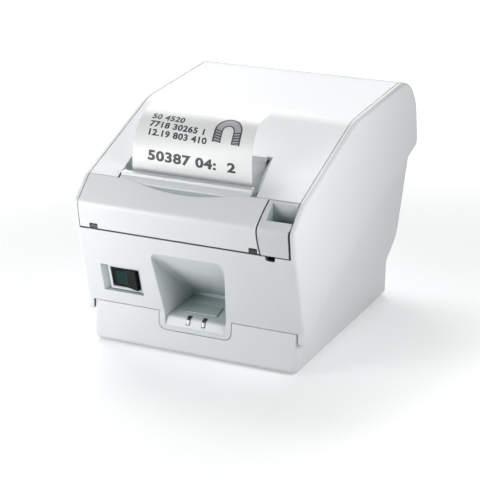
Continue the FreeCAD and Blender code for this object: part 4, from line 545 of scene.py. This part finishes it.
def arch(radius):
    # Foot, arc and foot of the arch at one distance from its middle
    line = [(-radius, MARK_FOOT)]
    line += [(-radius * math.cos(math.pi * i / 24), radius * math.sin(math.pi * i / 24)) for i in range(25)]
    return line + [(radius, MARK_FOOT)]


def ribbon(name, sides, finish, lift):
    # Flat strips between pairs of lines, wrapped on the ticket
    mesh = bpy.data.meshes.new(name)
    shape = bmesh.new()
    for side_a, side_b in sides:
        row_a = [shape.verts.new((u, v, 0)) for u, v in side_a]
        row_b = [shape.verts.new((u, v, 0)) for u, v in side_b]
        for i in range(len(row_a) - 1):
            shape.faces.new((row_a[i], row_a[i + 1], row_b[i + 1], row_b[i]))
    bmesh.ops.recalc_face_normals(shape, faces=shape.faces)
    shape.to_mesh(mesh)
    shape.free()
    piece = bpy.data.objects.new(name, mesh)
    bpy.context.scene.collection.objects.link(piece)
    bpy.ops.object.select_all(action="DESELECT")
    piece.select_set(True)
    bpy.context.view_layer.objects.active = piece
    wrapped(piece, MARK_X, MARK_DROP, lift)
    done(piece, finish, "rear_cover")


ribbon("ticket_mark_fill", [(arch(MARK_RADIUS), arch(MARK_INNER))], grey_ink, INK_LIFT)
lines = [(arch(MARK_RADIUS), arch(MARK_RADIUS - MARK_LINE * 1.3)),
         (arch(MARK_INNER + MARK_LINE), arch(MARK_INNER))]
for side in (-1, 1):
    near, far = side * MARK_INNER, side * MARK_RADIUS
    for step in range(5):
        low = MARK_FOOT + step * HATCH_STEP
        top = low + MARK_LINE
        lines.append(([(near, low), (far, low + HATCH_RISE)], [(near, top), (far, top + HATCH_RISE)]))
ribbon("ticket_mark_lines", lines, ink, INK_LIFT + 0.00002)

# Tear bar teeth: a fine moulded saw along the back edge of the bar, pointing up at the paper,
# so that a ticket can be torn across it.
bar_low, bar_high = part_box("tear_bar")
TOOTH_PITCH, TOOTH_RISE, TOOTH_THICK, TOOTH_EDGE = 0.0011, 0.0007, 0.0005, 0.00006
SAW_ROOT, SAW_MARGIN, SAW_SET_IN, SAW_SUNK = -0.0006, 0.002, 0.0004, 0.00005
tooth_count = int((bar_high.x - bar_low.x - SAW_MARGIN) / TOOTH_PITCH)
saw_left = (bar_high.x + bar_low.x - tooth_count * TOOTH_PITCH) / 2
saw = []
for i in range(tooth_count):
    saw += [(saw_left + i * TOOTH_PITCH, 0.0), (saw_left + (i + 0.5) * TOOTH_PITCH, TOOTH_RISE)]
saw_right = saw_left + tooth_count * TOOTH_PITCH
saw += [(saw_right, 0.0), (saw_right, SAW_ROOT), (saw_left, SAW_ROOT)]
saw_foot = Vector((0.0, bar_high.y - SAW_SET_IN, bar_high.z - SAW_SUNK))
teeth = plate("tear_bar_teeth", saw, lambda u, v, out: saw_foot + Vector((u, -out, v)),
              TOOTH_THICK, TOOTH_EDGE)
done(teeth, lid_white, "front_cover")

# Badge recess shade: a thin crescent of darker teal grey pressed into the recess of the front cover, painted
# shade along the top of the recess. It carries no lettering.
RECESS_RADIUS, RECESS_DEPTH = 0.122, 0.0008
INLAY_RADIUS, INLAY_TALL, INLAY_THICK, INLAY_EDGE = 0.12185, 0.00625, 0.0003, 0.00008
ARC_STEPS = 20
INLAY_PLACE = Vector((-0.0045, NOSE + 0.0111, 0.1079))
INLAY_UP = Vector((0.0, 0.0155, 0.0142)).normalized()
INLAY_OUT = Vector((0.0, -INLAY_UP.z, INLAY_UP.y))
half_turn = math.acos((RECESS_RADIUS - INLAY_TALL) / INLAY_RADIUS)
crescent = []
for i in range(2 * ARC_STEPS + 1):
    turn = half_turn * (i / ARC_STEPS - 1)
    crescent.append((INLAY_RADIUS * math.sin(turn), RECESS_RADIUS - INLAY_RADIUS * math.cos(turn)))
recess_shade = plate("badge_recess_shade", crescent, lambda u, v, out: (
    INLAY_PLACE + Vector((u, 0, 0)) + INLAY_UP * v + INLAY_OUT * (out - RECESS_DEPTH)),
    INLAY_THICK, INLAY_EDGE)
# Painted shade: the crescent's teal grey stands for the shadow in the recess.
recess_shade_grey = moulded("recess_shade_grey", (0.46, 0.53, 0.53), 0.36, depth=0.000006, edge=0.0001)
done(recess_shade, recess_shade_grey, "front_cover")

# Studio: a pale floor and a world that look white to the camera, in reflections and through
# glass, while the floor keeps the shadow. Two large lamps stand at the back left and two small
# ones close by, front left and on the right.
FLOOR_SIZE, FLOOR_COLOR = 14.0, (0.78, 0.8, 0.8)
# Painted light on the floor: its glow to the camera is dim under the printer and rises to full white away
# from it.
GLOW_FROM, GLOW_TO = 0.1, 0.9
GLOW_UNDER, GLOW_AWAY = 0.29, 1.0
SKY_COLOR, SKY_SEEN, SKY_LIGHT = (0.93, 1.0, 0.99), 0.97, 0.03


def seen_share(tree):
    # One where the ray comes from the camera, a reflection or glass, else nothing
    path = tree.nodes.new("ShaderNodeLightPath")
    share = path.outputs["Is Camera Ray"]
    for kind in ("Is Transmission Ray", "Is Glossy Ray"):
        larger = tree.nodes.new("ShaderNodeMath")
        larger.operation = "MAXIMUM"
        tree.links.new(share, larger.inputs[0])
        tree.links.new(path.outputs[kind], larger.inputs[1])
        share = larger.outputs[0]
    return share


bpy.ops.object.select_all(action="DESELECT")
bpy.ops.mesh.primitive_plane_add(size=FLOOR_SIZE)
floor = bpy.context.object
floor.name = "floor"
floor_paint = bpy.data.materials.new("floor_paint")
floor_paint.use_nodes = True
tree = floor_paint.node_tree
tree.nodes.clear()
matt = tree.nodes.new("ShaderNodeBsdfDiffuse")
matt.inputs["Color"].default_value = (*FLOOR_COLOR, 1.0)
spot = tree.nodes.new("ShaderNodeNewGeometry")
away = tree.nodes.new("ShaderNodeVectorMath")
away.operation = "LENGTH"
rising = tree.nodes.new("ShaderNodeMapRange")
rising.interpolation_type = "SMOOTHSTEP"
for socket, value in (("From Min", GLOW_FROM), ("From Max", GLOW_TO),
                      ("To Min", GLOW_UNDER), ("To Max", GLOW_AWAY)):
    rising.inputs[socket].default_value = value
glow = tree.nodes.new("ShaderNodeEmission")
both = tree.nodes.new("ShaderNodeAddShader")
pick = tree.nodes.new("ShaderNodeMixShader")
sheet_out = tree.nodes.new("ShaderNodeOutputMaterial")
for start, end in ((spot.outputs["Position"], away.inputs[0]),
                   (away.outputs["Value"], rising.inputs["Value"]),
                   (rising.outputs["Result"], glow.inputs["Color"]), (seen_share(tree), pick.inputs[0]),
                   (matt.outputs[0], pick.inputs[1]), (matt.outputs[0], both.inputs[0]),
                   (glow.outputs[0], both.inputs[1]), (both.outputs[0], pick.inputs[2]),
                   (pick.outputs[0], sheet_out.inputs[0])):
    tree.links.new(start, end)
floor.data.materials.append(floor_paint)

world = bpy.data.worlds.new("studio")
bpy.context.scene.world = world
world.use_nodes = True
sky = world.node_tree
back = sky.nodes["Background"]
back.inputs["Color"].default_value = (*SKY_COLOR, 1.0)
strength = sky.nodes.new("ShaderNodeMath")
strength.operation = "MULTIPLY_ADD"
strength.inputs[1].default_value = SKY_SEEN
strength.inputs[2].default_value = SKY_LIGHT
sky.links.new(seen_share(sky), strength.inputs[0])
sky.links.new(strength.outputs[0], back.inputs["Strength"])


def softbox(name, place, power, width, height):
    light = bpy.data.lights.new(name, "AREA")
    light.shape = "RECTANGLE"
    light.size = width
    light.size_y = height
    light.energy = power
    lamp = bpy.data.objects.new(name, light)
    bpy.context.scene.collection.objects.link(lamp)
    lamp.location = place
    lamp.rotation_euler = (Vector((0, 0, 0.07)) - Vector(place)).to_track_quat("-Z", "Y").to_euler()


softbox("back_left", (-0.85, 0.8, 1.25), 15.7, 1.0, 0.9)
softbox("back", (-0.5, 1.2, 0.9), 6.0, 0.9, 0.7)
softbox("front_left", (-0.23, -0.35, 0.13), 0.9, 0.2, 0.2)
softbox("right_fill", (0.33, -0.16, 0.22), 0.75, 0.15, 0.15)
